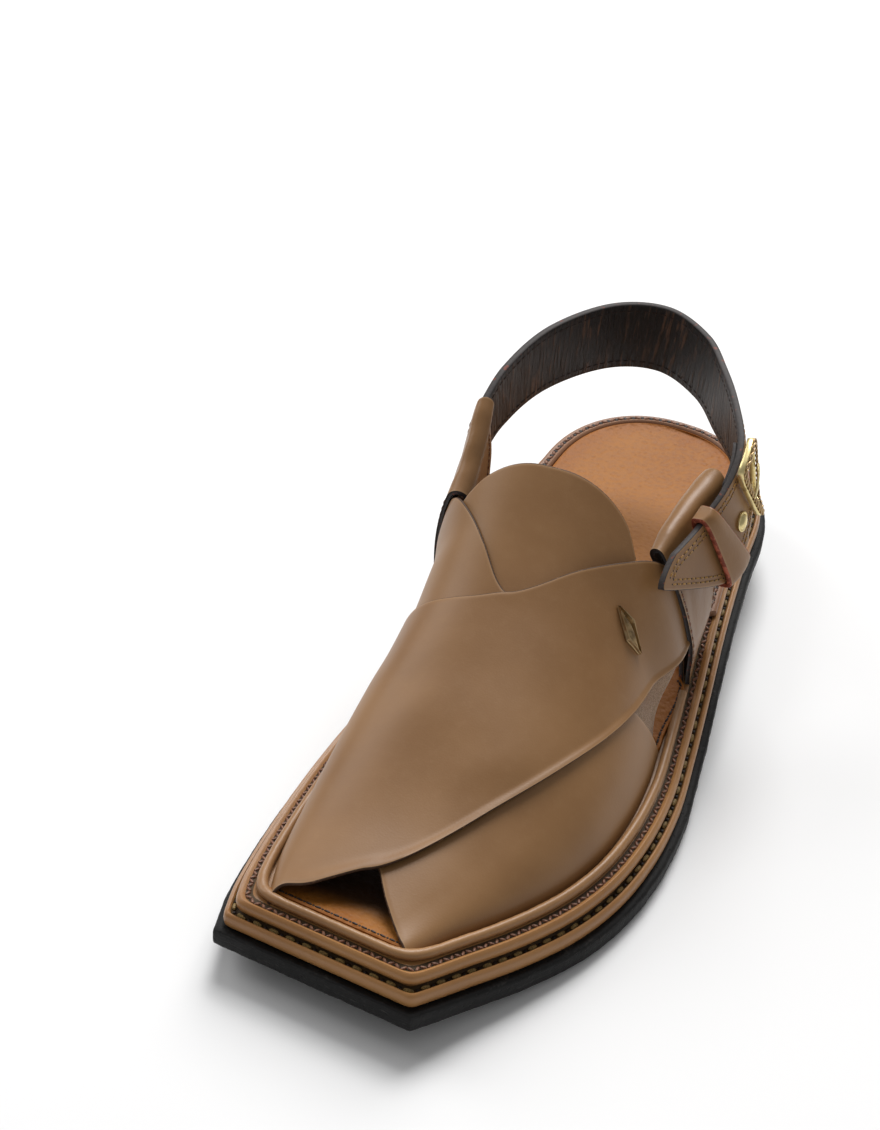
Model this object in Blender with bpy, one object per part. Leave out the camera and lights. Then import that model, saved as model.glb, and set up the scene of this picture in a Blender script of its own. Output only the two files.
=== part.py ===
"""A left peshawari chappal in metres, Z up: toe towards -Y, little-toe side towards +X, standing on its sole.

The sole is a stack of layers that share one outline, the upper is one leather shell worked out on a last,
and the quarters, heel strap and buckle are placed by the same last.
"""
import functools
import math

import bmesh
import bpy
import numpy as np
from mathutils import Vector

# Length and widths of the sole
LENGTH = 0.312
BALL_WIDTH = 0.122
TOE_SLANT = 0.004

# Heights of the sole
HEEL_HEIGHT = 0.015
TOE_SPRING = 0.009
OUTSOLE_THICKNESS = 0.0070
LOWER_WELT_THICKNESS = 0.0055
UPPER_WELT_THICKNESS = 0.0045
INSOLE_THICKNESS = 0.0024

# Steps of the sole's side, each from the edge of the layer below
LOWER_WELT_STEP = 0.0026
UPPER_WELT_STEP = 0.0030
STITCH_LEDGE = 0.0045
BEAD_WIDTH = 0.0032
BEAD_HEIGHT = 0.0034
RIM_LEDGE = 0.0012
RIM_WIDTH = 0.0048

# How much the layers' edges are eased, on the rubber, the welts and the insole, and the heel block's taper
RUBBER_EASE = 0.0008
WELT_EASE = 0.0012
INSOLE_EASE = 0.0008
HEEL_FLARE = 0.0012
HEEL_TAPER = 0.0016

# The upper
INSTEP_HEIGHT = 0.065
CROWN_SHIFT = 0.014
SIDE_FULLNESS = 0.80
WALL = 0.0018
OVERLAP_STEP = 0.0010
GAP = 0.0003
HEEL_LAST_INSET = 0.0125

# The heel strap and what sits on it
STRAP_WIDTH = 0.026
STRAP_THICKNESS = 0.0026
QUARTER_WALL = 0.0015
TAB_THICKNESS = 0.0014
BUCKLE_LENGTH = 0.014
BUCKLE_BAR = 0.0026
BUCKLE_THICKNESS = 0.0022
KEEPER_LENGTH = 0.013
KEEPER_WALL = 0.0014
PRONG_WIDTH = 0.0024
RIVET_RADIUS = 0.0032
RIVET_HEIGHT = 0.0018
STUD_LENGTH = 0.022
STUD_WIDTH = 0.0075
STUD_HEIGHT = 0.0016

# Shares of the length from the toe: the bead's end, the heel rim's start, the stretch in which the insole
# narrows to meet the rim, and where the last leaves the bead
BEAD_END = 0.53
RIM_START = 0.64
RIM_BLEND = 0.03
WAIST_START = 0.47

# Share of the length from the toe where each stretch of the sole's underside ends
TREAD_FRONT = 0.26
TREAD_REAR = 0.40
BREAST = 0.70

# Outline of the outsole: along is a share of LENGTH, lateral and medial are shares of BALL_WIDTH
OUTLINE = (
    # along, lateral, medial
    (0.00, 0.258, 0.307),
    (0.06, 0.352, 0.348),
    (0.12, 0.442, 0.375),
    (0.18, 0.516, 0.392),
    (0.25, 0.570, 0.402),
    (0.32, 0.590, 0.402),
    (0.40, 0.582, 0.395),
    (0.48, 0.548, 0.404),
    (0.56, 0.509, 0.402),
    (0.64, 0.468, 0.392),
    (0.72, 0.430, 0.384),
    (0.80, 0.396, 0.381),
    (0.88, 0.374, 0.378),
    (1.00, 0.355, 0.370),
)
# Share of the length where the heel starts to round, and how full its round is
HEEL_START = 0.83
HEEL_FULLNESS = 0.9
# Share of the length that the slanted toe edge's corners reach
TOE_CORNER = 0.06

# The last's crown: height as a share of INSTEP_HEIGHT, shift as a share of CROWN_SHIFT
CROWN = (
    # along, height, shift
    (0.045, 0.055, 0.00),
    (0.114, 0.18, 0.10),
    (0.160, 0.26, 0.25),
    (0.220, 0.38, 0.45),
    (0.280, 0.51, 0.60),
    (0.340, 0.63, 0.75),
    (0.400, 0.76, 0.85),
    (0.460, 0.90, 0.95),
    (0.520, 1.04, 1.00),
    (0.580, 1.18, 1.00),
    (0.660, 1.34, 1.00),
    (0.760, 1.48, 1.00),
)


def smooth_rows(table, at):
    """The table's other columns at these values of its first, on a cubic through the rows."""
    rows = np.asarray(table, float)
    keys, values = rows[:, 0], rows[:, 1:]
    slopes = np.gradient(values, keys, axis=0)
    at = np.clip(np.atleast_1d(at), keys[0], keys[-1])
    low = np.clip(np.searchsorted(keys, at, side="right") - 1, 0, len(keys) - 2)
    span = keys[low + 1] - keys[low]
    s = ((at - keys[low]) / span)[:, None]
    span = span[:, None]
    start = (1 + 2 * s) * (1 - s) ** 2 * values[low] + s * (1 - s) ** 2 * span * slopes[low]
    end = s * s * (3 - 2 * s) * values[low + 1] - s * s * (1 - s) * span * slopes[low + 1]
    return start + end


def ease(value, low, high):
    """0 below low, 1 above high, and a smooth step between them."""
    s = np.clip((np.asarray(value, float) - low) / (high - low), 0, 1)
    return s * s * (3 - 2 * s)


def along_of(y):
    return np.asarray(y, float) / LENGTH + 0.5


def rise(y):
    """Height of the sole's underside above the floor: toe spring, tread, waist and heel seat."""
    along = along_of(y)
    spring = np.clip((TREAD_FRONT - along) / TREAD_FRONT, 0, 1.2) ** 2 * TOE_SPRING
    return spring + HEEL_HEIGHT * ease(along, TREAD_REAR, BREAST - 0.01)


# Stations of the outline's ring on each straight side, round half of the heel, and behind each toe corner
SIDE_STATIONS = 31
BEAD_SIDES = 6
HEEL_STATIONS = 11
TOE_STATIONS = 4


@functools.cache
def outline_ring():
    """The outsole's edge from the lateral toe corner round the heel to the medial toe corner, seen from above
    anticlockwise. Point i on the lateral side and point -1-i on the medial side are a pair."""
    side = np.linspace(0, HEEL_START, SIDE_STATIONS)
    angle = np.linspace(0, math.pi / 2, HEEL_STATIONS + 1)[1:]
    heel = HEEL_START + (1 - HEEL_START) * np.sin(angle) ** HEEL_FULLNESS
    along = np.concatenate([side, heel])
    narrow = np.concatenate([np.ones(SIDE_STATIONS), np.clip(np.cos(angle), 0, 1) ** HEEL_FULLNESS])
    widths = smooth_rows(OUTLINE, along) * BALL_WIDTH * narrow[:, None]
    slant = TOE_SLANT / 2 * np.clip(1 - along / TOE_CORNER, 0, 1)
    y = (along - 0.5) * LENGTH
    lateral = np.stack([widths[:, 0], y - slant], axis=1)
    medial = np.stack([-widths[:, 1], y + slant], axis=1)
    return np.concatenate([lateral, medial[-2::-1]])


def outline_centre():
    """Middle of the outline's box, which becomes the model's origin."""
    ring = outline_ring()
    return (ring.min(axis=0) + ring.max(axis=0)) / 2


def unfolded(side):
    """One side of an inset ring, its first stations spaced evenly from the toe so that none passes it."""
    kept = np.flatnonzero(side[:, 1] >= side[0, 1])
    y = np.linspace(side[0, 1], side[TOE_STATIONS, 1], TOE_STATIONS + 1)
    x = np.interp(y, side[kept, 1], side[kept, 0])
    return np.concatenate([np.column_stack([x, y]), side[TOE_STATIONS + 1 :]])


def inset_ring(inset):
    """The outline moved inwards by this distance, which may differ by point, with mitred corners."""
    ring = outline_ring()
    edge = np.roll(ring, -1, axis=0) - ring
    edge /= np.linalg.norm(edge, axis=1)[:, None]
    normal = np.stack([-edge[:, 1], edge[:, 0]], axis=1)
    before = np.roll(normal, 1, axis=0)
    bend = 1 + (normal * before).sum(axis=1)
    moved = ring + (normal + before) / bend[:, None] * np.reshape(inset, (-1, 1))
    half = len(ring) // 2
    return np.concatenate([unfolded(moved[: half + 1]), unfolded(moved[:half:-1])[::-1]])


def waist_inset(front, back):
    """An inset for each point of the ring: front up to the waist and back from the bead's end on."""
    along = along_of(outline_ring()[:, 1])
    return front + (back - front) * ease(along, WAIST_START, BEAD_END)


OUTSOLE_TOP = OUTSOLE_THICKNESS
LOWER_WELT_TOP = OUTSOLE_TOP + GAP + LOWER_WELT_THICKNESS
UPPER_WELT_TOP = LOWER_WELT_TOP + GAP + UPPER_WELT_THICKNESS
FOOTBED = UPPER_WELT_TOP + GAP
BEAD_INSET = LOWER_WELT_STEP + UPPER_WELT_STEP + STITCH_LEDGE
LAST_INSET = BEAD_INSET + BEAD_WIDTH + 2 * GAP + OVERLAP_STEP + WALL
# Where the last's two toe corners lie, as shares of the length
LATERAL_TOE, MEDIAL_TOE = along_of(inset_ring(LAST_INSET)[[0, -1], 1])


def last_base(along):
    """The last's lateral and medial edges on the footbed."""
    ring = inset_ring(waist_inset(LAST_INSET, HEEL_LAST_INSET))
    half = len(ring) // 2
    y = (np.asarray(along, float) - 0.5) * LENGTH
    lateral = np.interp(y, ring[:half, 1], ring[:half, 0])
    medial = np.interp(y, ring[::-1][:half, 1], ring[::-1][:half, 0])
    return lateral, medial


def last_point(around, along):
    """A point of the last: around runs from the lateral edge at 0 over the crown to the medial edge at 1."""
    around, along = np.broadcast_arrays(np.asarray(around, float), np.asarray(along, float))
    shape = around.shape
    around, along = around.ravel(), along.ravel()
    lateral, medial = last_base(along)
    crown = smooth_rows(CROWN, along)
    angle = math.pi * around
    side = np.sign(np.cos(angle)) * np.abs(np.cos(angle)) ** SIDE_FULLNESS
    lift = np.clip(np.sin(angle), 0, 1)
    x = (lateral + medial) / 2 + (lateral - medial) / 2 * side - CROWN_SHIFT * crown[:, 1] * lift
    y = (along - 0.5) * LENGTH
    z = rise(y) + FOOTBED + INSTEP_HEIGHT * crown[:, 0] * lift**0.9
    return np.stack([x, y, z], axis=1).reshape(*shape, 3)


def last_normal(around, along):
    """The last's outward normal, from small differences that stay inside its edges."""
    small = 1e-3
    around = np.clip(np.asarray(around, float), 2 * small, 1 - 2 * small)
    along = np.asarray(along, float)
    by_around = last_point(around + small, along) - last_point(around - small, along)
    by_along = last_point(around, along + small) - last_point(around, along - small)
    normal = np.cross(by_along, by_around)
    return normal / np.linalg.norm(normal, axis=-1, keepdims=True)


# The two crossing panels and the tongue on the last. Each row crosses it from its front to its rear edge.
LOWER_PANEL = (
    # row, front_around, front_along, rear_around, rear_along
    (0, 0.000, LATERAL_TOE, 0.000, 0.445),
    (1, 0.200, LATERAL_TOE, 0.050, 0.432),
    (2, 0.390, 0.066, 0.150, 0.410),
    (3, 0.488, 0.106, 0.280, 0.395),
    (4, 0.620, 0.190, 0.400, 0.398),
    (5, 0.730, 0.290, 0.500, 0.418),
    (6, 0.790, 0.380, 0.575, 0.462),
    (7, 0.800, 0.460, 0.695, 0.512),
    (8, 0.840, 0.528, 0.785, 0.534),
    (9, 0.845, 0.545, 0.795, 0.548),
)
UPPER_PANEL = (
    # row, front_around, front_along, rear_around, rear_along
    (0, 1.000, MEDIAL_TOE, 1.000, 0.405),
    (1, 0.800, MEDIAL_TOE, 0.880, 0.402),
    (2, 0.620, 0.063, 0.740, 0.400),
    (3, 0.467, 0.117, 0.600, 0.401),
    (4, 0.341, 0.219, 0.500, 0.418),
    (5, 0.205, 0.342, 0.358, 0.476),
    (6, 0.115, 0.455, 0.240, 0.530),
    (7, 0.063, 0.539, 0.172, 0.548),
    (8, 0.075, 0.560, 0.150, 0.562),
)
TONGUE = (
    # row, front_around, front_along, rear_around, rear_along
    (0, 0.300, 0.420, 0.262, 0.524),
    (1, 0.350, 0.375, 0.310, 0.540),
    (2, 0.430, 0.365, 0.400, 0.545),
    (3, 0.520, 0.365, 0.510, 0.541),
    (4, 0.600, 0.375, 0.610, 0.528),
    (5, 0.670, 0.400, 0.700, 0.510),
)

# Each quarter from its front to its rear edge: foot and top on the last, flare and lift of INSTEP_HEIGHT
LATERAL_QUARTER = (
    # column, foot_around, foot_along, top_around, top_along, flare, lift
    (0.00, 0.00, 0.545, 0.215, 0.548, 0.000, 0.00),
    (0.30, 0.00, 0.556, 0.200, 0.580, 0.010, 0.00),
    (0.65, 0.00, 0.575, 0.165, 0.635, 0.040, 0.03),
    (1.00, 0.00, 0.600, 0.140, 0.680, 0.080, 0.07),
)
MEDIAL_QUARTER = (
    # column, foot_around, foot_along, top_around, top_along, flare, lift
    (0.00, 1.00, 0.530, 0.758, 0.530, 0.00, 0.00),
    (0.30, 1.00, 0.545, 0.758, 0.556, 0.00, 0.00),
    (0.65, 1.00, 0.568, 0.750, 0.590, 0.03, 0.02),
    (1.00, 1.00, 0.595, 0.745, 0.620, 0.06, 0.05),
)

# Middle line of the heel strap from the medial quarter round the heel to the lateral one
STRAP = (
    # station, across of BALL_WIDTH, along of LENGTH, height over the footbed of INSTEP_HEIGHT, lean degrees
    (1, -0.335, 0.680, 0.845, 3),
    (2, -0.290, 0.760, 0.895, 2),
    (3, -0.180, 0.840, 0.895, 0),
    (4, -0.035, 0.870, 0.885, 0),
    (5, 0.110, 0.848, 0.855, 0),
    (6, 0.215, 0.800, 0.830, 2),
    (7, 0.304, 0.748, 0.835, 8),
    (8, 0.384, 0.692, 0.795, 12),
    (11, 0.360, 0.506, 0.660, 22),
)
# Where the strap's end lies on the lateral quarter, and how far it stands off, as a share of STRAP_WIDTH
STRAP_SEATS = (
    # station, column, height, bulge
    (9, 0.85, 0.88, 0.09),
    (10, 0.50, 0.75, 0.00),
)
# Stations between the strap's sections, its tip, and the length of its point
STRAP_STEP = 0.125
STRAP_END = 11
STRAP_POINT = 0.5
# Heights on the medial quarter's rear edge between which the strap starts
STRAP_START = (0.60, 0.97)
# The stud's upper end on the last, the turn round the last for a metre of it, and its slant
STUD_TOP = 0.268
STUD_ALONG = 0.470
STUD_TURN = 4.0
STUD_SLANT = 0.12
STUD_POINT = 0.92
# Stations of the strap at the middle of what sits on it, and at the tab's ends
BUCKLE_STATION = 8.22
KEEPER_STATION = 9.72
RIVET_STATION = 7.1
SEAT_CLEARANCE = 0.0018
TAB_START = 7.5
TAB_END = 9.0
TAB_MARGIN = 0.0015


COLLECTION = "peshawari_chappal"
CUTTERS = "cutters"


def clear_scene():
    for obj in list(bpy.data.objects):
        bpy.data.objects.remove(obj, do_unlink=True)
    for name in (COLLECTION, CUTTERS):
        collection = bpy.data.collections.new(name)
        bpy.context.scene.collection.children.link(collection)


def material(name, colour, roughness, metallic=0.0):
    found = bpy.data.materials.get(name)
    if found:
        return found
    made = bpy.data.materials.new(name)
    made.use_nodes = True
    shader = made.node_tree.nodes["Principled BSDF"]
    shader.inputs["Base Color"].default_value = (*colour, 1)
    shader.inputs["Roughness"].default_value = roughness
    shader.inputs["Metallic"].default_value = metallic
    made.diffuse_color = (*colour, 1)
    return made


def tan_leather():
    return material("tan_leather", (0.33, 0.17, 0.07), 0.6)


def welt_leather():
    return material("welt_leather", (0.36, 0.18, 0.06), 0.5)


def insole_leather():
    return material("insole_leather", (0.50, 0.24, 0.08), 0.45)


def black_rubber():
    return material("black_rubber", (0.03, 0.027, 0.024), 0.75)


def black_leather():
    return material("black_leather", (0.02, 0.018, 0.017), 0.5)


def antique_gold():
    return material("antique_gold", (0.72, 0.58, 0.30), 0.3, 1.0)


def add_solid(name, points, faces, finish, collection=COLLECTION):
    """One object from points and faces, moved so that the outline is centred, its normals turned outwards."""
    points = np.asarray(points, float) - [*outline_centre(), 0]
    mesh = bpy.data.meshes.new(name)
    mesh.from_pydata(points.tolist(), [], [list(map(int, face)) for face in faces])
    work = bmesh.new()
    work.from_mesh(mesh)
    bmesh.ops.triangulate(work, faces=work.faces[:])
    bmesh.ops.recalc_face_normals(work, faces=work.faces[:])
    work.to_mesh(mesh)
    work.free()
    mesh.materials.append(finish)
    obj = bpy.data.objects.new(name, mesh)
    bpy.data.collections[collection].objects.link(obj)
    mesh.shade_smooth()
    mesh.set_sharp_from_angle(angle=math.radians(35))
    return obj


def tube_faces(rings, size, closed):
    """Quads between successive rings of this many points each, numbered ring by ring."""
    faces = []
    for ring in range(rings - 1 + closed):
        low, high = ring * size, (ring + 1) % rings * size
        for i in range(size):
            j = (i + 1) % size
            faces.append((low + i, low + j, high + j, high + i))
    return faces


def pair_cap(first, size):
    """Faces across a ring whose point i and point -1-i face each other."""
    last = first + size - 1
    faces = [(first + i, first + i + 1, last - 1 - i, last - i) for i in range(size // 2 - 1)]
    if size % 2:
        middle = size // 2
        faces.append((first + middle - 1, first + middle, first + middle + 1))
    return faces


def layer(name, profile, finish, start=0):
    """A layer of the sole: profile rows hold an inset and a height over the underside, or its function."""
    points = []
    for inset, level in profile:
        ring = inset_ring(inset)
        ring = ring[start : len(ring) - start]
        z = level(ring[:, 1]) if callable(level) else rise(ring[:, 1]) + level
        points.append(np.column_stack([ring, z]))
    size = len(points[0])
    faces = tube_faces(len(points), size, False)
    faces += pair_cap(0, size) + pair_cap((len(points) - 1) * size, size)
    return add_solid(name, np.concatenate(points), faces, finish)


def strip(name, section, keep, finish):
    """A strip along the outline: section rows hold inset and level, keep chooses and orders the points."""
    points = []
    for inset, level in section:
        ring = inset_ring(inset)[keep]
        points.append(np.column_stack([ring, rise(ring[:, 1]) + level]))
    points = np.stack(points, axis=1)
    count, size = points.shape[:2]
    faces = tube_faces(count, size, False)
    faces += [tuple(range(size)), tuple((count - 1) * size + i for i in range(size))]
    return add_solid(name, points.reshape(-1, 3), faces, finish)


def shell(points, thickness, inner_offset, normals):
    """Points and faces of a grid made into a closed wall of this thickness above this offset."""
    rows, columns = points.shape[:2]
    low = points + normals * np.reshape(inner_offset, (*np.shape(inner_offset), 1))
    high = low + normals * thickness
    index = np.arange(rows * columns).reshape(rows, columns)
    top = index + rows * columns
    faces = []
    for i in range(rows - 1):
        for j in range(columns - 1):
            faces.append((index[i, j], index[i + 1, j], index[i + 1, j + 1], index[i, j + 1]))
            faces.append((top[i, j], top[i, j + 1], top[i + 1, j + 1], top[i + 1, j]))
    rim = [*index[0, :-1], *index[:-1, -1], *index[-1, :0:-1], *index[:0:-1, 0]]
    for a, b in zip(rim, rim[1:] + rim[:1]):
        faces.append((a, b, b + rows * columns, a + rows * columns))
    return np.concatenate([low.reshape(-1, 3), high.reshape(-1, 3)]), faces


def above_footbed(points):
    """The points with none left under the footbed."""
    points[..., 2] = np.maximum(points[..., 2], rise(points[..., 1]) + FOOTBED)
    return points


PANEL_ROWS = 25
PANEL_COLUMNS = 11


def panel_grid(table, rows=PANEL_ROWS, columns=PANEL_COLUMNS):
    """Around and along of a panel's grid, from the front edge to the rear edge of each row."""
    at = np.linspace(table[0][0], table[-1][0], rows)
    edges = smooth_rows(table, at)
    across = np.linspace(0, 1, columns)[None, :, None]
    grid = edges[:, None, :2] * (1 - across) + edges[:, None, 2:] * across
    return np.clip(grid[..., 0], 0, 1), grid[..., 1]


def panel(name, table, offset, finish, lift_at_base=None, collection=COLLECTION):
    around, along = panel_grid(table)
    offset = np.full(around.shape, offset)
    if lift_at_base is not None:
        offset = offset + lift_at_base * (1 - ease(around, 0.08, 0.30))
    points, faces = shell(last_point(around, along), WALL, offset, last_normal(around, along))
    return add_solid(name, above_footbed(points), faces, finish, collection)


def upper():
    """The whole upper in one body: the two panels and the tongue, joined where they cross."""
    body = panel("upper", LOWER_PANEL, 0.0, tan_leather(), lift_at_base=OVERLAP_STEP)
    joined = (("upper_panel", UPPER_PANEL, OVERLAP_STEP), ("tongue", TONGUE, -OVERLAP_STEP))
    for name, table, offset in joined:
        other = panel(name, table, offset, tan_leather(), collection=CUTTERS)
        other.hide_render = True
        other.display_type = "WIRE"
        join = body.modifiers.new(name, "BOOLEAN")
        join.operation = "UNION"
        join.object = other
        join.solver = "EXACT"
    return body


QUARTER_COLUMNS = 9
QUARTER_LEVELS = 9
FOLD_STEPS = 5


def quarter_middle(table, column, height):
    """A point of the surface midway between a quarter's two layers."""
    foot_around, foot_along, top_around, top_along, flare, lift = smooth_rows(table, column).T
    around = foot_around + (top_around - foot_around) * height
    along = foot_along + (top_along - foot_along) * height
    out = np.where(foot_around < 0.5, 1.0, -1.0)
    moved = last_point(around, along)
    moved[..., 0] += out * flare * INSTEP_HEIGHT * height**0.8
    moved[..., 2] += lift * INSTEP_HEIGHT * height
    return moved


def quarter_frame(table, column, height):
    """Middle point, outward normal and upward direction of a quarter."""
    small = 2e-3
    point = quarter_middle(table, column, height)
    up = quarter_middle(table, column, height + small)
    up = up - quarter_middle(table, column, np.maximum(height - small, 0))
    side = quarter_middle(table, np.clip(column + small, 0, 1), height)
    side = side - quarter_middle(table, np.clip(column - small, 0, 1), height)
    up /= np.linalg.norm(up, axis=-1, keepdims=True)
    out = np.cross(side, up)
    out /= np.linalg.norm(out, axis=-1, keepdims=True)
    out *= np.sign(out[..., :1]) * (1 if table[0][1] < 0.5 else -1)
    return point, out, up


def quarter(name, table, panel_offset):
    """A leather quarter folded over its top edge, open at both ends for the panel and the strap."""
    centre = panel_offset + WALL / 2
    gap_half = WALL / 2 + GAP
    rings = []
    for column in np.linspace(0, 1, QUARTER_COLUMNS):
        heights = np.linspace(0, 1, QUARTER_LEVELS)
        spread = 0.3 + 0.7 * ease(heights, 0.0, 0.28)
        point, out, up = quarter_frame(table, np.full(QUARTER_LEVELS, column), heights)
        middle = point + out * (centre * spread)[:, None]
        fold = np.linspace(0, math.pi, FOLD_STEPS + 2)[1:-1]
        sides = []
        for reach in (gap_half + QUARTER_WALL, gap_half):
            reaches = (reach - gap_half) + gap_half * spread
            outer = middle + out * reaches[:, None]
            inner = middle - out * reaches[:, None]
            over = [middle[-1] + (out[-1] * math.cos(a) + up[-1] * math.sin(a)) * reach for a in fold]
            sides.append(np.concatenate([outer, over, inner[::-1]]))
        rings.append(np.concatenate([sides[0], sides[1][::-1]]))
    points = above_footbed(np.stack(rings))
    count, size = points.shape[:2]
    faces = tube_faces(count, size, False)
    faces += pair_cap(0, size) + pair_cap((count - 1) * size, size)
    return add_solid(name, points.reshape(-1, 3), faces, tan_leather())


def outside_of_quarter(column, height, offset):
    """Centre and lean of what lies on the lateral quarter's outer face, this far out from it."""
    point, out, up = quarter_frame(LATERAL_QUARTER, np.array([column]), np.array([height]))
    face = OVERLAP_STEP + WALL / 2 + WALL / 2 + GAP + QUARTER_WALL
    x, y, z = point[0] + out[0] * (face + offset)
    return x, y, z, math.degrees(math.atan2(up[0, 0], up[0, 2]))


@functools.cache
def strap_table():
    """The strap's stations: the one at the medial quarter's rear edge, the free ones and the seated ones."""
    point, out, up = quarter_frame(MEDIAL_QUARTER, np.array([1.0]), np.array([0.74]))
    x, y, z = point[0] + out[0] * WALL / 2
    rows = [(0, x, y + 2 * GAP, z, math.degrees(math.atan2(up[0, 0], up[0, 2])))]
    for station, across, along, height, lean in STRAP:
        y = (along - 0.5) * LENGTH
        z = float(rise(y)) + FOOTBED + height * INSTEP_HEIGHT
        rows.append((station, across * BALL_WIDTH, y, z, -lean if across > 0 else lean))
    under = SEAT_CLEARANCE + TAB_THICKNESS + 2 * GAP + STRAP_THICKNESS / 2
    for station, column, height, bulge in STRAP_SEATS:
        rows.append((station, *outside_of_quarter(column, height, under + bulge * STRAP_WIDTH)))
    return np.array(sorted(rows))


def strap_frame(station):
    """Centre, forward, up and outward directions of the strap at a station."""
    table = strap_table()
    small = 0.02
    x, y, z, lean = smooth_rows(table, station)[0]
    ahead = smooth_rows(table, station + small)[0, :3] - smooth_rows(table, station - small)[0, :3]
    forward = Vector(ahead).normalized()
    tilt = math.radians(lean)
    out = Vector((math.sin(tilt), 0, math.cos(tilt))).cross(forward).normalized()
    return Vector((x, y, z)), forward, forward.cross(out).normalized(), out


def on_strap(station, ahead, high, outward):
    """A point in the strap's own frame, this far ahead of a station along the strap's bent line."""
    before, after = strap_frame(station - 0.25)[0], strap_frame(station + 0.25)[0]
    centre, _, up, out = strap_frame(station + ahead * 0.5 / (after - before).length)
    return centre + up * high + out * outward


def strap_start(outward):
    """The strap's lower and upper corner behind the medial quarter's rear edge, this far from its middle."""
    heights = np.array(STRAP_START)
    point, out, up = quarter_frame(MEDIAL_QUARTER, np.ones(2), heights)
    _, forward, _, _ = strap_frame(0.2)
    return [Vector(p + o * (WALL / 2 + outward)) + forward * 2 * GAP for p, o in zip(point, out)]


def heel_strap():
    """One band from the medial quarter round the heel, through the buckle, to a pointed tip."""
    half, thick = STRAP_WIDTH / 2, STRAP_THICKNESS / 2
    places = [(station, half) for station in np.arange(2 * STRAP_STEP, STRAP_END - STRAP_POINT, STRAP_STEP)]
    for share, width in ((1.0, 1.0), (0.7, 0.72), (0.4, 0.42), (0.15, 0.15)):
        places.append((STRAP_END - STRAP_POINT * share, half * width))
    inside, outside = strap_start(-thick), strap_start(thick)
    points = [inside[0], inside[1], outside[1], outside[0]]
    for station, width in places:
        for side, offset in ((-1, -thick), (1, -thick), (1, thick), (-1, thick)):
            points.append(on_strap(station, 0, side * width, offset))
    count = len(places) + 1
    faces = tube_faces(count, 4, False) + [(0, 1, 2, 3), tuple(4 * (count - 1) + i for i in range(4))]
    return add_solid("heel_strap", points, faces, tan_leather())


def buckle_tab():
    """The black leather tab under the strap that holds the buckle."""
    inner = -STRAP_THICKNESS / 2 - 2 * GAP - TAB_THICKNESS
    outer = inner + TAB_THICKNESS
    half = STRAP_WIDTH / 2 + TAB_MARGIN
    points = []
    places = np.arange(TAB_START, TAB_END + STRAP_STEP / 2, STRAP_STEP)
    for station in places:
        for side, offset in ((-1, inner), (1, inner), (1, outer), (-1, outer)):
            points.append(on_strap(station, 0, side * half, offset))
    last = 4 * (len(places) - 1)
    faces = tube_faces(len(places), 4, False) + [(0, 1, 2, 3), tuple(last + i for i in range(4))]
    return add_solid("buckle_tab", points, faces, black_leather())


def keeper_loop():
    """The leather loop round the strap in front of the buckle."""
    clear = 3 * GAP
    low = (-STRAP_THICKNESS / 2 - clear, -STRAP_WIDTH / 2 - clear)
    loops = []
    for ahead in np.linspace(-KEEPER_LENGTH / 2, KEEPER_LENGTH / 2, 4):
        for wall in (KEEPER_WALL, 0.0):
            deep, tall = low[0] - wall, low[1] - wall
            corners = ((tall, deep), (-tall, deep), (-tall, -deep), (tall, -deep))
            loops.append([on_strap(KEEPER_STATION, ahead, high, outward) for high, outward in corners])
    order = [0, 2, 4, 6, 7, 5, 3, 1]
    points = [point for i in order for point in loops[i]]
    return add_solid("keeper_loop", points, tube_faces(8, 4, True), tan_leather())


def rounded_frame(half_long, half_tall, radius):
    """Points of a rounded rectangle, anticlockwise, with points along its level sides so that it can bend."""
    long, tall = half_long - radius, half_tall - radius
    round_off = radius * math.sqrt(0.5)
    straight = np.linspace(long, -long, 5)
    points = []
    for up in (1, -1):
        points += [(up * half_long, up * tall), (up * (long + round_off), up * (tall + round_off))]
        points += [(up * a, up * half_tall) for a in straight]
        points.append((-up * (long + round_off), up * (tall + round_off)))
    return points


def buckle_frame():
    """A rectangular frame on the strap's outer face, bent with the strap and rounded at its corners."""
    tall = STRAP_WIDTH / 2 + 2 * GAP
    low = STRAP_THICKNESS / 2 + 3 * GAP
    inner = rounded_frame(BUCKLE_LENGTH / 2 - BUCKLE_BAR, tall, BUCKLE_BAR * 0.3)
    outer = rounded_frame(BUCKLE_LENGTH / 2, tall + BUCKLE_BAR, BUCKLE_BAR * 0.8)
    high_face = low + BUCKLE_THICKNESS
    points = []
    for loop, level in ((inner, low), (inner, high_face), (outer, high_face), (outer, low)):
        points += [on_strap(BUCKLE_STATION, ahead, high, level) for ahead, high in loop]
    return add_solid("buckle_frame", points, tube_faces(4, len(inner), True), antique_gold())


def buckle_prong():
    """The prong lying from the frame's rear bar to its front bar."""
    low = STRAP_THICKNESS / 2 + 4 * GAP + BUCKLE_THICKNESS
    half = PRONG_WIDTH / 2
    points = []
    for ahead in np.linspace(-BUCKLE_LENGTH / 2, BUCKLE_LENGTH / 2, 6):
        for high, level in ((-half, 0), (half, 0), (half, half), (-half, half)):
            points.append(on_strap(BUCKLE_STATION, ahead, high, low + level))
    faces = tube_faces(6, 4, False) + [(0, 1, 2, 3), (20, 21, 22, 23)]
    return add_solid("buckle_prong", points, faces, antique_gold())


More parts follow.
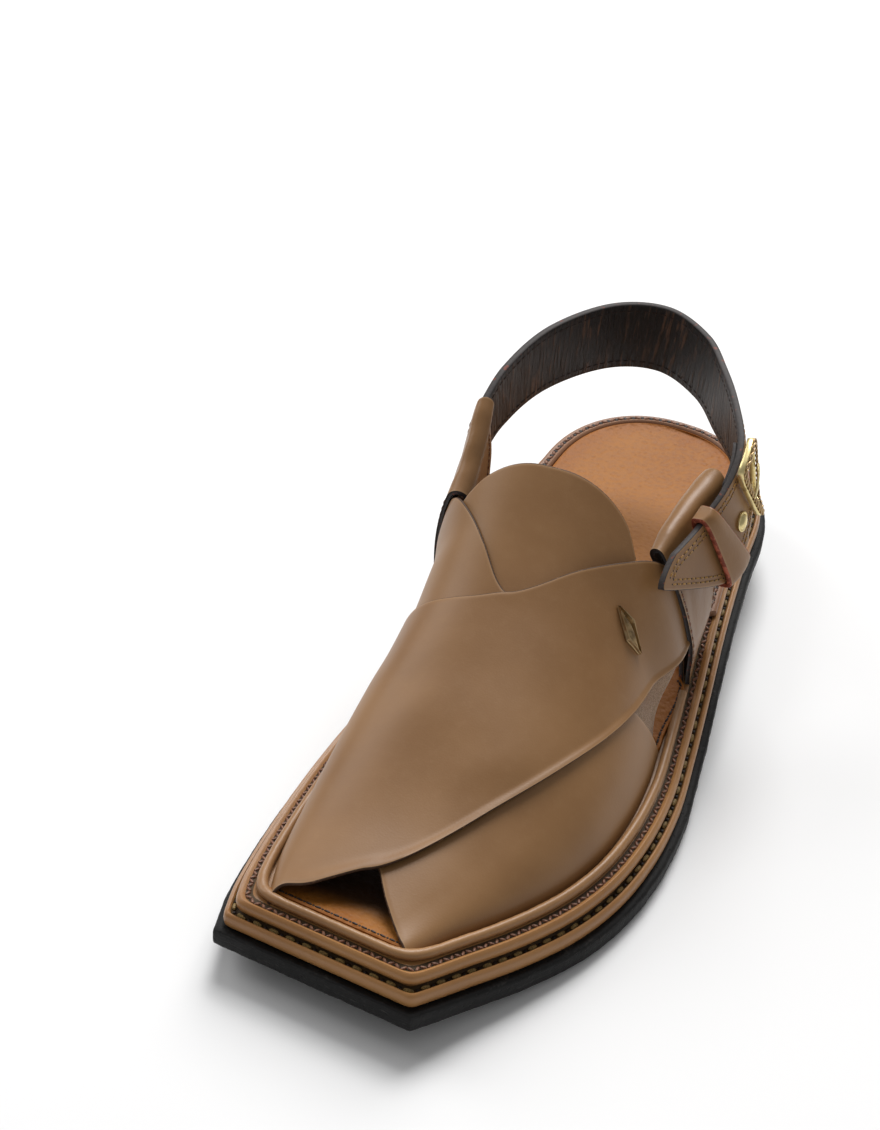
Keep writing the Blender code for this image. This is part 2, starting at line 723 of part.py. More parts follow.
def strap_rivet():
    """A low domed rivet on the strap's outer face behind the buckle."""
    seat = STRAP_THICKNESS / 2 + GAP
    points = []
    angles = np.linspace(0, 2 * math.pi, 16, endpoint=False)
    for share, level in ((1.0, 0.0), (1.0, 0.45), (0.8, 0.8), (0.4, 1.0)):
        reach, high = RIVET_RADIUS * share, seat + RIVET_HEIGHT * level
        points += [on_strap(RIVET_STATION, reach * math.cos(a), reach * math.sin(a), high) for a in angles]
    faces = tube_faces(4, 16, False) + [tuple(range(16)), tuple(48 + i for i in range(16))]
    return add_solid("strap_rivet", points, faces, antique_gold())


def vamp_stud():
    """A plain lozenge stud on the upper panel, bent with the leather."""
    around = np.linspace(STUD_TOP, STUD_TOP - STUD_LENGTH * STUD_TURN, 9)
    half = STUD_WIDTH / 2 / LENGTH * (1 - STUD_POINT * np.abs(np.linspace(-1, 1, 9)))
    along = STUD_ALONG - STUD_SLANT * (STUD_TOP - around)[:, None] + half[:, None] * np.array([-1, 0, 1])
    grid = np.repeat(around[:, None], 3, axis=1)
    seat = np.full(grid.shape, OVERLAP_STEP + WALL + GAP)
    points, faces = shell(last_point(grid, along), STUD_HEIGHT, seat, last_normal(grid, along))
    return add_solid("vamp_stud", points, faces, antique_gold())


def on_floor(y):
    return np.zeros(len(y))


def under_seat(y):
    return np.full(len(y), HEEL_HEIGHT - GAP)


def sole():
    """Outsole, heel block, the two welts, the bead, the heel rim and the insole."""
    top = OUTSOLE_TOP
    layer("outsole", ((RUBBER_EASE, 0.0), (0.0, RUBBER_EASE), (0.0, top)), black_rubber())
    breast = round(BREAST / HEEL_START * (SIDE_STATIONS - 1))
    foot = HEEL_FLARE + HEEL_TAPER
    layer("heel_block", ((foot, on_floor), (HEEL_FLARE, under_seat)), black_rubber(), start=breast)
    step, low, top = LOWER_WELT_STEP, OUTSOLE_TOP + GAP, LOWER_WELT_TOP
    layer("lower_welt", ((step, low), (step, top - WELT_EASE), (step + WELT_EASE, top)), welt_leather())
    step, low, top = step + UPPER_WELT_STEP, LOWER_WELT_TOP + GAP, UPPER_WELT_TOP
    side = ((step, low + WELT_EASE), (step, top - WELT_EASE))
    layer("upper_welt", ((step + WELT_EASE / 2, low), *side, (step + WELT_EASE, top)), welt_leather())
    ring = outline_ring()
    half = len(ring) // 2
    along = along_of(ring[:, 1])
    front = [i for i in range(half, -1, -1) if along[i] < BEAD_END]
    front += [i for i in range(len(ring) - 1, half, -1) if along[i] < BEAD_END]
    wide = BEAD_WIDTH / 2
    middle = BEAD_INSET + wide
    turn = np.linspace(0, math.pi, BEAD_SIDES)
    section = [(middle + wide * math.cos(a), FOOTBED + BEAD_HEIGHT * math.sin(a)) for a in turn]
    strip("bead", section, front, tan_leather())
    back = [i for i in range(len(ring)) if along[i] > RIM_START]
    edge = step + RIM_LEDGE
    top = FOOTBED + INSOLE_THICKNESS
    far = edge + RIM_WIDTH
    strip("heel_rim", ((edge, FOOTBED), (edge, top), (far, top), (far, FOOTBED)), back, tan_leather())
    inner = waist_inset(LAST_INSET + 2 * GAP, HEEL_LAST_INSET + QUARTER_WALL + 2 * GAP)
    inner = inner + (far + GAP - inner) * ease(along, RIM_START - RIM_BLEND, RIM_START)
    side = ((inner, FOOTBED), (inner, top - INSOLE_EASE))
    layer("insole", (*side, (inner + INSOLE_EASE, top)), insole_leather())


def main():
    clear_scene()
    sole()
    upper()
    quarter("lateral_quarter", LATERAL_QUARTER, OVERLAP_STEP)
    quarter("medial_quarter", MEDIAL_QUARTER, 0.0)
    heel_strap()
    buckle_tab()
    buckle_frame()
    keeper_loop()
    buckle_prong()
    strap_rivet()
    vamp_stud()


if __name__ == "__main__":
    main()
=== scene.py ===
"""Looks of a left peshawari chappal: leather, rubber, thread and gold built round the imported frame.

Lengths are in metres. The toe points to -Y and the little-toe side to +X. Every piece is a numpy surface
that follows the same outline and the same last as the frame, worked out once in Form.
"""

import logging
import math
from collections.abc import Sequence
from dataclasses import dataclass, field
from enum import Enum
from functools import cached_property

import bmesh
import bpy
import numpy as np
from mathutils import Matrix


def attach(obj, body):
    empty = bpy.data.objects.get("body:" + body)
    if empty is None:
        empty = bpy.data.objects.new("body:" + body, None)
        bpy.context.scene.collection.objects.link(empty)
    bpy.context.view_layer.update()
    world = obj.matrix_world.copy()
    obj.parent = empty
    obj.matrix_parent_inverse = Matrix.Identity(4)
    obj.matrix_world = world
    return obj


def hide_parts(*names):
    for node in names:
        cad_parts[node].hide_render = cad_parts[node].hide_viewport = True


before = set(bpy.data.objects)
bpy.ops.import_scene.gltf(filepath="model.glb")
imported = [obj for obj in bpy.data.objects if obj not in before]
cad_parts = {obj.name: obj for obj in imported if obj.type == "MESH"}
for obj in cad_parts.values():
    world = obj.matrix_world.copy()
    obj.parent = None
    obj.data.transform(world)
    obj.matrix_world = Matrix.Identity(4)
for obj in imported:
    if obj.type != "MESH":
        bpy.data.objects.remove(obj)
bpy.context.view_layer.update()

Array = np.ndarray
Rows = Sequence[tuple]
LOG = logging.getLogger("chappal")
BODY = "root"
WELD = 1e-6


class Zone(Enum):
    """Which of a piece's finishes a face takes."""

    FACE = 0
    EDGE = 1
    BACK = 2


def smooth_rows(table: Rows, at: Array) -> Array:
    """A table's other columns at values of its first, on the cubic with the rows' own slopes.

    Args:
        table: rows whose first number rises from row to row.
        at: where to read the table.

    Returns:
        One row of values for each place.
    """
    rows = np.asarray(table, float)
    keys, values = rows[:, 0], rows[:, 1:]
    slopes = np.gradient(values, keys, axis=0)
    at = np.clip(np.atleast_1d(at), keys[0], keys[-1])
    low = np.clip(np.searchsorted(keys, at, side="right") - 1, 0, len(keys) - 2)
    span = (keys[low + 1] - keys[low])[:, None]
    s = (at - keys[low])[:, None] / span
    start = (1 + 2 * s) * (1 - s) ** 2 * values[low] + s * (1 - s) ** 2 * span * slopes[low]
    end = s * s * (3 - 2 * s) * values[low + 1] - s * s * (1 - s) * span * slopes[low + 1]
    return start + end


def ease(value: Array, low: float, high: float) -> Array:
    """0 below low, 1 above high, and 3s^2 - 2s^3 between them."""
    s = np.clip((np.asarray(value, float) - low) / (high - low), 0, 1)
    return s * s * (3 - 2 * s)


def unit(vectors: Array) -> Array:
    """The vectors at length one."""
    return vectors / np.maximum(np.linalg.norm(vectors, axis=-1, keepdims=True), 1e-12)


def run_along(path: Array) -> Array:
    """Length run along a path at each of its points."""
    return np.concatenate([[0], np.cumsum(np.linalg.norm(np.diff(path, axis=0), axis=1))])


def resampled(path: Array, count: int) -> Array:
    """The path at evenly spaced lengths, both ends kept.

    Args:
        path: points in order.
        count: how many points to return.

    Returns:
        The new points.
    """
    run = run_along(path)
    at = np.linspace(0, run[-1], count)
    return np.stack([np.interp(at, run, path[:, k]) for k in range(path.shape[1])], axis=1)


def full_turn(count: int) -> Array:
    """Even angles once round, the first not repeated."""
    return np.linspace(0, 2 * math.pi, count, endpoint=False)


def squared(wave: Array, power: float) -> Array:
    """A sine or cosine raised to a power with its sign kept, which squares a round section."""
    return np.sign(wave) * np.abs(wave) ** power


def ripple(run: Array, *waves: tuple[float, float]) -> Array:
    """A mean of sine waves, each given as waves to the metre and a phase."""
    return sum(np.sin(2 * math.pi * rate * run + phase) for rate, phase in waves) / len(waves)


@dataclass(frozen=True)
class Form:
    """The shoe's shape: the sole's outline, its underside's rise, and the last that the upper lies on."""

    length: float = 0.312
    ball_width: float = 0.122
    toe_slant: float = 0.004
    toe_corner: float = 0.06
    heel_start: float = 0.83
    heel_fullness: float = 0.9
    heel_height: float = 0.015
    toe_spring: float = 0.009
    tread: tuple[float, float] = (0.26, 0.40)
    breast: float = 0.70
    waist: tuple[float, float] = (0.47, 0.53)
    footbed: float = 0.0179
    instep: float = 0.065
    crown_shift: float = 0.014
    fullness: float = 0.80
    last_inset: float = 0.0167
    heel_inset: float = 0.0125
    side_stations: int = 91
    heel_stations: int = 31
    toe_points: int = 64
    side_points: int = 577
    ring_step: float = 0.0011
    outline: Rows = (
        # along, lateral and medial shares of ball_width
        (0.00, 0.258, 0.307), (0.06, 0.352, 0.348), (0.12, 0.442, 0.375), (0.18, 0.516, 0.392),
        (0.25, 0.570, 0.402), (0.32, 0.590, 0.402), (0.40, 0.582, 0.395), (0.48, 0.548, 0.404),
        (0.56, 0.509, 0.402), (0.64, 0.468, 0.392), (0.72, 0.430, 0.384), (0.80, 0.396, 0.381),
        (0.88, 0.374, 0.378), (1.00, 0.355, 0.370),
    )
    crown: Rows = (
        # along, height share of instep, shift share of crown_shift
        (0.045, 0.055, 0.00), (0.114, 0.18, 0.10), (0.160, 0.26, 0.25), (0.220, 0.38, 0.45),
        (0.280, 0.51, 0.60), (0.340, 0.63, 0.75), (0.400, 0.76, 0.85), (0.460, 0.90, 0.95),
        (0.520, 1.04, 1.00), (0.580, 1.18, 1.00), (0.660, 1.34, 1.00), (0.760, 1.48, 1.00),
    )

    def along_of(self, y: Array) -> Array:
        """Share of the length from the toe."""
        return np.asarray(y, float) / self.length + 0.5

    def rise(self, y: Array) -> Array:
        """Height of the underside: a square law up to the toe and a smooth step up to the heel seat.

        Args:
            y: places along the shoe.

        Returns:
            Heights over the floor.
        """
        along = self.along_of(y)
        spring = np.clip((self.tread[0] - along) / self.tread[0], 0, 1.2) ** 2 * self.toe_spring
        return spring + self.heel_height * ease(along, self.tread[1], self.breast - 0.01)

    @cached_property
    def edge(self) -> Array:
        """The outsole's edge from the lateral toe corner round the heel to the medial toe corner."""
        side = np.linspace(0, self.heel_start, self.side_stations)
        turn = np.linspace(0, math.pi / 2, self.heel_stations + 1)[1:]
        heel = self.heel_start + (1 - self.heel_start) * np.sin(turn) ** self.heel_fullness
        along = np.concatenate([side, heel])
        narrow = np.clip(np.cos(turn), 0, 1) ** self.heel_fullness
        widths = smooth_rows(self.outline, along) * self.ball_width
        widths *= np.concatenate([np.ones(self.side_stations), narrow])[:, None]
        slant = self.toe_slant / 2 * np.clip(1 - along / self.toe_corner, 0, 1)
        y = (along - 0.5) * self.length
        lateral = np.stack([widths[:, 0], y - slant], axis=1)
        medial = np.stack([-widths[:, 1], y + slant], axis=1)
        return np.concatenate([lateral, medial[-2::-1]])

    @cached_property
    def centre(self) -> Array:
        """Middle of the outline's box, where the frame has its origin."""
        return (self.edge.min(axis=0) + self.edge.max(axis=0)) / 2

    def placed(self, points: Array) -> Array:
        """Points of the outline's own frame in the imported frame."""
        return np.asarray(points, float) - [*self.centre, 0]

    def _unfolded(self, side: Array) -> Array:
        """One side of an inset edge with its first stations spaced evenly behind the toe corner.

        Args:
            side: the side's points from the toe corner to the heel.

        Returns:
            As many points, with no fold at the corner.
        """
        last = round(4 * (self.side_stations - 1) / 30)
        kept = np.flatnonzero(side[:, 1] >= side[0, 1])
        y = np.linspace(side[0, 1], side[last, 1], last + 1)
        x = np.interp(y, side[kept, 1], side[kept, 0])
        return np.concatenate([np.column_stack([x, y]), side[last + 1 :]])

    def inset(self, inset: float | Array) -> Array:
        """The edge moved inwards along the mean of its two normals, divided by the cosine of half its bend.

        Args:
            inset: one distance, or one for each point of the edge.

        Returns:
            Points that pair with those of the edge.
        """
        ahead = unit(np.roll(self.edge, -1, axis=0) - self.edge)
        normal = np.stack([-ahead[:, 1], ahead[:, 0]], axis=1)
        before = np.roll(normal, 1, axis=0)
        bend = 1 + (normal * before).sum(axis=1)
        moved = self.edge + (normal + before) / bend[:, None] * np.reshape(inset, (-1, 1))
        half = len(moved) // 2
        return np.concatenate([self._unfolded(moved[: half + 1]), self._unfolded(moved[:half:-1])[::-1]])

    def waist_inset(self, front: float, back: float) -> Array:
        """An inset for each point of the edge: front up to the waist and back behind it."""
        return front + (back - front) * ease(self.along_of(self.edge[:, 1]), *self.waist)

    def ring(self, inset: float | Array, corner: float = 0.0) -> Array:
        """A closed even ring: the toe edge from the medial corner, then the sides and heel.

        Args:
            inset: distance inside the outsole's edge.
            corner: spread of the blur that rounds the two toe corners.

        Returns:
            Points (toe_points + side_points - 1, 2), with the lateral toe corner at index toe_points.
        """
        rough = self.inset(inset)
        share = np.linspace(0, 1, self.toe_points, endpoint=False)[:, None]
        toe = rough[-1] + (rough[0] - rough[-1]) * share
        ring = np.concatenate([toe, resampled(rough, self.side_points)[:-1]])
        if not corner:
            return ring
        step = np.linalg.norm(ring[1] - ring[0])
        spread = corner / step
        reach = int(3 * spread) + 1
        blurred, total = np.zeros_like(ring), 0.0
        for shift in range(-reach, reach + 1):
            weight = math.exp(-0.5 * (shift / spread) ** 2)
            blurred += weight * np.roll(ring, shift, axis=0)
            total += weight
        index = np.arange(len(ring))
        away = np.minimum.reduce([index, len(ring) - index, np.abs(index - self.toe_points)])
        near = np.exp(-((away / (2.6 * spread)) ** 4))[:, None]
        return ring * (1 - near) + blurred / total * near

    def base(self, along: Array) -> tuple[Array, Array]:
        """The last's edges on the footbed.

        Args:
            along: shares of the length from the toe.

        Returns:
            How far across its lateral and its medial edge lie.
        """
        ring = self.inset(self.waist_inset(self.last_inset, self.heel_inset))
        half = len(ring) // 2
        y = (np.asarray(along, float) - 0.5) * self.length
        lateral = np.interp(y, ring[:half, 1], ring[:half, 0])
        medial = np.interp(y, ring[::-1][:half, 1], ring[::-1][:half, 0])
        return lateral, medial

    def last(self, around: Array, along: Array) -> Array:
        """A point of the last. Across the foot it is an ellipse with full sides over the footbed's edges.

        Args:
            around: 0 at the lateral edge, over the crown, to 1 at the medial edge.
            along: share of the length from the toe.

        Returns:
            Points with one more axis than the arguments.
        """
        around, along = np.broadcast_arrays(np.asarray(around, float), np.asarray(along, float))
        shape = around.shape
        around, along = around.ravel(), along.ravel()
        lateral, medial = self.base(along)
        crown = smooth_rows(self.crown, along)
        angle = math.pi * around
        side = squared(np.cos(angle), self.fullness)
        lift = np.clip(np.sin(angle), 0, 1)
        x = (lateral + medial) / 2 + (lateral - medial) / 2 * side - self.crown_shift * crown[:, 1] * lift
        y = (along - 0.5) * self.length
        z = self.rise(y) + self.footbed + self.instep * crown[:, 0] * lift**0.9
        return np.stack([x, y, z], axis=1).reshape(*shape, 3)

    def last_normal(self, around: Array, along: Array) -> Array:
        """Outward normal of the last from the cross product of its two small differences.

        Args:
            around: places round the last.
            along: places along it.

        Returns:
            Normals of length one.
        """
        small = 4e-3
        around = np.clip(np.asarray(around, float), 2 * small, 1 - 2 * small)
        along = np.asarray(along, float)
        by_around = self.last(around + small, along) - self.last(around - small, along)
        by_along = self.last(around, along + small) - self.last(around, along - small)
        return unit(np.cross(by_along, by_around))

    def skin(self, around: Array, along: Array) -> tuple[Array, Array]:
        """Points of the last and its normals there."""
        return self.last(around, along), self.last_normal(around, along)

    def laid(self, line: Array, level: float) -> Array:
        """A flat line's points at a level over the underside."""
        return np.column_stack([line, self.rise(line[:, 1]) + level])

    def above(self, points: Array) -> Array:
        """The points with none left under the footbed."""
        floor = self.rise(points[..., 1]) + self.footbed
        return np.concatenate([points[..., :2], np.maximum(points[..., 2], floor)[..., None]], axis=-1)


FORM = Form()


@dataclass
class Body:
    """Grids gathered into one mesh and welded where they meet, with numbers kept at its points."""

    points: list[Array] = field(default_factory=list)
    quads: list[Array] = field(default_factory=list)
    zones: list[Array] = field(default_factory=list)
    marks: dict[str, list[Array]] = field(default_factory=dict)
    size: int = 0

    def grid(self, points: Array, zone: Zone = Zone.FACE, rows_close: bool = False,
             columns_close: bool = False, marks: dict[str, Array] | None = None) -> "Body":
        """Adds quads between neighbours of a grid.

        Args:
            points: (rows, columns, 3).
            zone: the finish of its faces.
            rows_close: joins the last row to the first.
            columns_close: joins the last column to the first.
            marks: numbers of the same rows and columns.

        Returns:
            The body itself.
        """
        rows, columns = points.shape[:2]
        index = np.arange(rows * columns).reshape(rows, columns) + self.size
        if rows_close:
            index = np.concatenate([index, index[:1]])
        if columns_close:
            index = np.concatenate([index, index[:, :1]], axis=1)
        quads = np.stack([index[:-1, :-1], index[1:, :-1], index[1:, 1:], index[:-1, 1:]], axis=-1)
        self.points.append(points.reshape(-1, 3))
        self.quads.append(quads.reshape(-1, 4))
        self.zones.append(np.full(quads.shape[0] * quads.shape[1], zone.value))
        for name in set(self.marks) | set(marks or {}):
            filled = np.broadcast_to((marks or {}).get(name, 0.0), (rows, columns)).ravel()
            self.marks.setdefault(name, [np.zeros(self.size)] if self.size else []).append(filled)
        self.size += rows * columns
        return self

    def welded(self) -> tuple[Array, Array, Array, Array, dict[str, Array]]:
        """Points made one where they meet, quads with a lost side made triangles, and the marks.

        Returns:
            Points, quads, triangles, zones in that order of faces, and marks.
        """
        points = np.concatenate(self.points)
        _, first, back = np.unique(
            np.round(points / WELD).astype(np.int64), axis=0, return_index=True, return_inverse=True
        )
        quads, zones = back.reshape(-1)[np.concatenate(self.quads)], np.concatenate(self.zones)
        same = quads == np.roll(quads, -1, axis=1)
        crossed = (quads[:, 0] == quads[:, 2]) | (quads[:, 1] == quads[:, 3])
        whole = (same.sum(axis=1) == 0) & ~crossed
        three = (same.sum(axis=1) == 1) & ~crossed
        triangles = quads[three][~same[three]].reshape(-1, 3)
        marks = {name: np.concatenate(values)[first] for name, values in self.marks.items()}
        return points[first], quads[whole], triangles, np.concatenate([zones[whole], zones[three]]), marks

    def make(self, name: str, finishes: Sequence[bpy.types.Material], slot: str,
             replaces: Sequence[str] = (), sharp: float = 40.0) -> bpy.types.Object:
        """The finished piece: one closed mesh, its normals outwards, riding on the shoe.

        Args:
            name: the piece's name.
            finishes: materials in the order of Zone.
            slot: the record's slot; not used.
            replaces: the frame's nodes that it stands for.
            sharp: angle in degrees past which an edge stays hard.

        Returns:
            The object.
        """
        points, quads, triangles, zones, marks = self.welded()
        points = FORM.placed(points)
        mesh = bpy.data.meshes.new(name)
        loops = np.concatenate([quads.ravel(), triangles.ravel()])
        starts = np.concatenate([np.arange(len(quads)) * 4, len(quads) * 4 + np.arange(len(triangles)) * 3])
        mesh.vertices.add(len(points))
        mesh.vertices.foreach_set("co", points.astype(np.float32).ravel())
        mesh.loops.add(len(loops))
        mesh.loops.foreach_set("vertex_index", loops.astype(np.int32))
        mesh.polygons.add(len(starts))
        mesh.polygons.foreach_set("loop_start", starts.astype(np.int32))
        mesh.polygons.foreach_set("material_index", np.minimum(zones, len(finishes) - 1).astype(np.int32))
        mesh.update(calc_edges=True)
        mesh.validate()
        for mark, values in marks.items():
            attribute = mesh.attributes.new(mark, "FLOAT", "POINT")
            attribute.data.foreach_set("value", values.astype(np.float32))
        work = bmesh.new()
        work.from_mesh(mesh)
        bmesh.ops.recalc_face_normals(work, faces=work.faces[:])
        work.to_mesh(mesh)
        work.free()
        for finish in finishes:
            mesh.materials.append(finish)
        mesh.shade_smooth()
        mesh.set_sharp_from_angle(angle=math.radians(sharp))
        piece = bpy.data.objects.new(name, mesh)
        bpy.context.scene.collection.objects.link(piece)
        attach(piece, BODY)
        if replaces:
            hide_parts(*replaces)
        LOG.info("%s: %d faces", name, len(mesh.polygons))
        return piece


def distances(points: Array) -> tuple[Array, Array, Array]:
    """Lengths run along a grid's rows and columns, and the distance to its nearest border.

    Args:
        points: (rows, columns, 3).

    Returns:
        Run down the rows, run across the columns, and the least distance to the four borders.
    """
    down = np.linalg.norm(np.diff(points, axis=0), axis=-1)
    across = np.linalg.norm(np.diff(points, axis=1), axis=-1)
    down = np.concatenate([np.zeros((1, points.shape[1])), np.cumsum(down, axis=0)])
    across = np.concatenate([np.zeros((points.shape[0], 1)), np.cumsum(across, axis=1)], axis=1)
    border = np.minimum.reduce([down, down[-1:] - down, across, across[:, -1:] - across])
    return down, across, border


def wall(body: Body, points: Array, normals: Array, low: Array | float, high: Array | float,
         bulge: float = 0.0004, floor: bool = True) -> Body:
    """A closed leather wall over a surface, with its cut edge swelling out on half an ellipse.

    Args:
        body: what the wall is added to.
        points: the surface (rows, columns, 3).
        normals: its outward normals.
        low: height of the flesh side over the surface.
        high: height of the grain side over the surface.
        bulge: how far the cut edge swells.
        floor: keeps every point over the footbed.

    Returns:
        The same body.
    """
    down, across, border = distances(points)
    low = np.broadcast_to(low, points.shape[:2])[..., None]
    high = np.broadcast_to(high, points.shape[:2])[..., None]
    lift = (lambda p: FORM.above(p)) if floor else (lambda p: p)
    marks = {"edge": border, "run": down, "across": across}
    body.grid(lift(points + normals * high), Zone.FACE, marks=marks)
    body.grid(lift(points + normals * low), Zone.BACK, marks=marks)

    def rim(grid: Array) -> Array:
        """The grid's border in order, once round."""
        return np.concatenate([grid[0, :-1], grid[:-1, -1], grid[-1, :0:-1], grid[:0:-1, 0]])

    out = np.zeros_like(points)
    out[0] += unit(points[0] - points[1])
    out[-1] += unit(points[-1] - points[-2])
    out[:, 0] += unit(points[:, 0] - points[:, 1])
    out[:, -1] += unit(points[:, -1] - points[:, -2])
    away, base, up = unit(rim(out)), rim(points), rim(normals)
    bottom, top = rim(low), rim(high)
    turn = np.linspace(0, math.pi, 7)[:, None, None]
    middle, half = (bottom + top) / 2, (top - bottom) / 2
    band = base + up * (middle + half * np.cos(turn)) + away * bulge * np.sin(turn)
    return body.grid(lift(band), Zone.EDGE, columns_close=True)


def across(ring: Array, columns: int) -> Array:
    """A grid that fills a ring: straight rows between its two sides.

    Args:
        ring: closed ring of Form.ring.
        columns: points in each row.

    Returns:
        Rows from the middle of the toe edge to the middle of the heel.
    """
    start = FORM.toe_points // 2
    turned = np.roll(ring, -start, axis=0)
    half = len(turned) // 2
    one, other = turned[: half + 1], np.roll(turned[::-1], 1, axis=0)[: half + 1]
    share = np.linspace(0, 1, columns)[None, :, None]
    return one[:, None] * (1 - share) + other[:, None] * share


@dataclass(frozen=True)
class Stitching:
    """A row of thread: each stitch is a short rounded grain, and a dark needle hole lies between two."""

    pitch: float = 0.0030
    long: float = 0.0024
    wide: float = 0.0009
    high: float = 0.0008
    slant: float = 0.0
    hole: float = 0.0
    jitter: float = 0.06

    def grains(self, path: Array, normals: Array) -> tuple[Array, Array]:
        """Stitch points worked out as whole arrays.

        Each stitch is an ellipsoid of six by five points with its long axis on the path, turned by slant one
        way and the other in turn where slant is set.

        Args:
            path: points in order on the leather.
            normals: outward normals at those points.

        Returns:
            Thread grids and hole grids, each (stitches, rows, columns, 3).
        """
        run = run_along(path)
        count = max(2, int(run[-1] / self.pitch))
        at = (np.arange(count) + 0.5) * run[-1] / count

        def read(values: Array, where: Array) -> Array:
            """The values at these lengths."""
            return np.stack([np.interp(where, run, values[:, k]) for k in range(3)], axis=1)

        random = np.random.default_rng(count)
        ahead = unit(read(path, at + self.pitch / 4) - read(path, at - self.pitch / 4))
        up = unit(read(normals, at))
        side = unit(np.cross(up, ahead))
        turn = self.slant * np.where(np.arange(count) % 2, 1, -1) + random.normal(0, self.jitter, count)
        along = ahead * np.cos(turn)[:, None] + side * np.sin(turn)[:, None]
        wide = unit(np.cross(up, along))
        around = full_turn(6)
        ends = np.linspace(0, math.pi, 5)
        x = -np.cos(ends)[:, None] * np.ones(6)
        y = np.sin(ends)[:, None] ** 0.6 * np.cos(around)
        z = np.sin(ends)[:, None] ** 0.6 * np.sin(around)

        def grains(centre: Array, long: float, broad: float, tall: float) -> Array:
            """Ellipsoids at these centres."""
            return (centre[:, None, None] + along[:, None, None] * (x * long / 2)[..., None]
                    + wide[:, None, None] * (y * broad / 2)[..., None]
                    + up[:, None, None] * (z * tall / 2)[..., None])

        thread = grains(read(path, at), self.long, self.wide, self.high)
        holes = grains(read(path, at + self.pitch / 2), self.hole, self.hole, self.hole * 0.35)
        return thread, holes if self.hole else holes[:0]

    def sew(self, body: Body, path: Array, normals: Array) -> Body:
        """Adds the row to a body: thread takes the face finish and holes the edge finish.

        Args:
            body: what the row is added to.
            path: points in order on the leather.
            normals: outward normals at those points.

        Returns:
            The same body.
        """
        thread, holes = self.grains(path, normals)
        for grids, zone in ((thread, Zone.FACE), (holes, Zone.EDGE)):
            for grid in grids:
                body.grid(grid, zone, columns_close=True)
        return body


class Value:
    """A shader number or colour socket; each operator on it adds one Math node."""

    def __init__(self, paint: "Paint", socket: bpy.types.NodeSocket) -> None:
        """Keeps the socket and the material that it belongs to."""
        self.paint, self.socket = paint, socket

    def _math(self, operation: str, *values: "Value | float") -> "Value":
        """One Math node on these values."""
        return self.paint.node("ShaderNodeMath", {"operation": operation}, dict(enumerate(values)))

    def __add__(self, other: "Value | float") -> "Value":
        """Sum."""
        return self._math("ADD", self, other)

    __radd__ = __add__

    def __sub__(self, other: "Value | float") -> "Value":
        """Difference."""
        return self._math("SUBTRACT", self, other)

    def __rsub__(self, other: float) -> "Value":
        """Difference from a number."""
        return self._math("SUBTRACT", other, self)

    def __mul__(self, other: "Value | float") -> "Value":
        """Product."""
        return self._math("MULTIPLY", self, other)

    __rmul__ = __mul__

    def between(self, low: float, high: float) -> "Value":
        """0 at low and 1 at high, smooth between."""
        return self.paint.node(
            "ShaderNodeMapRange", {"interpolation_type": "SMOOTHSTEP"},
            {"Value": self, "From Min": low, "From Max": high},
        )


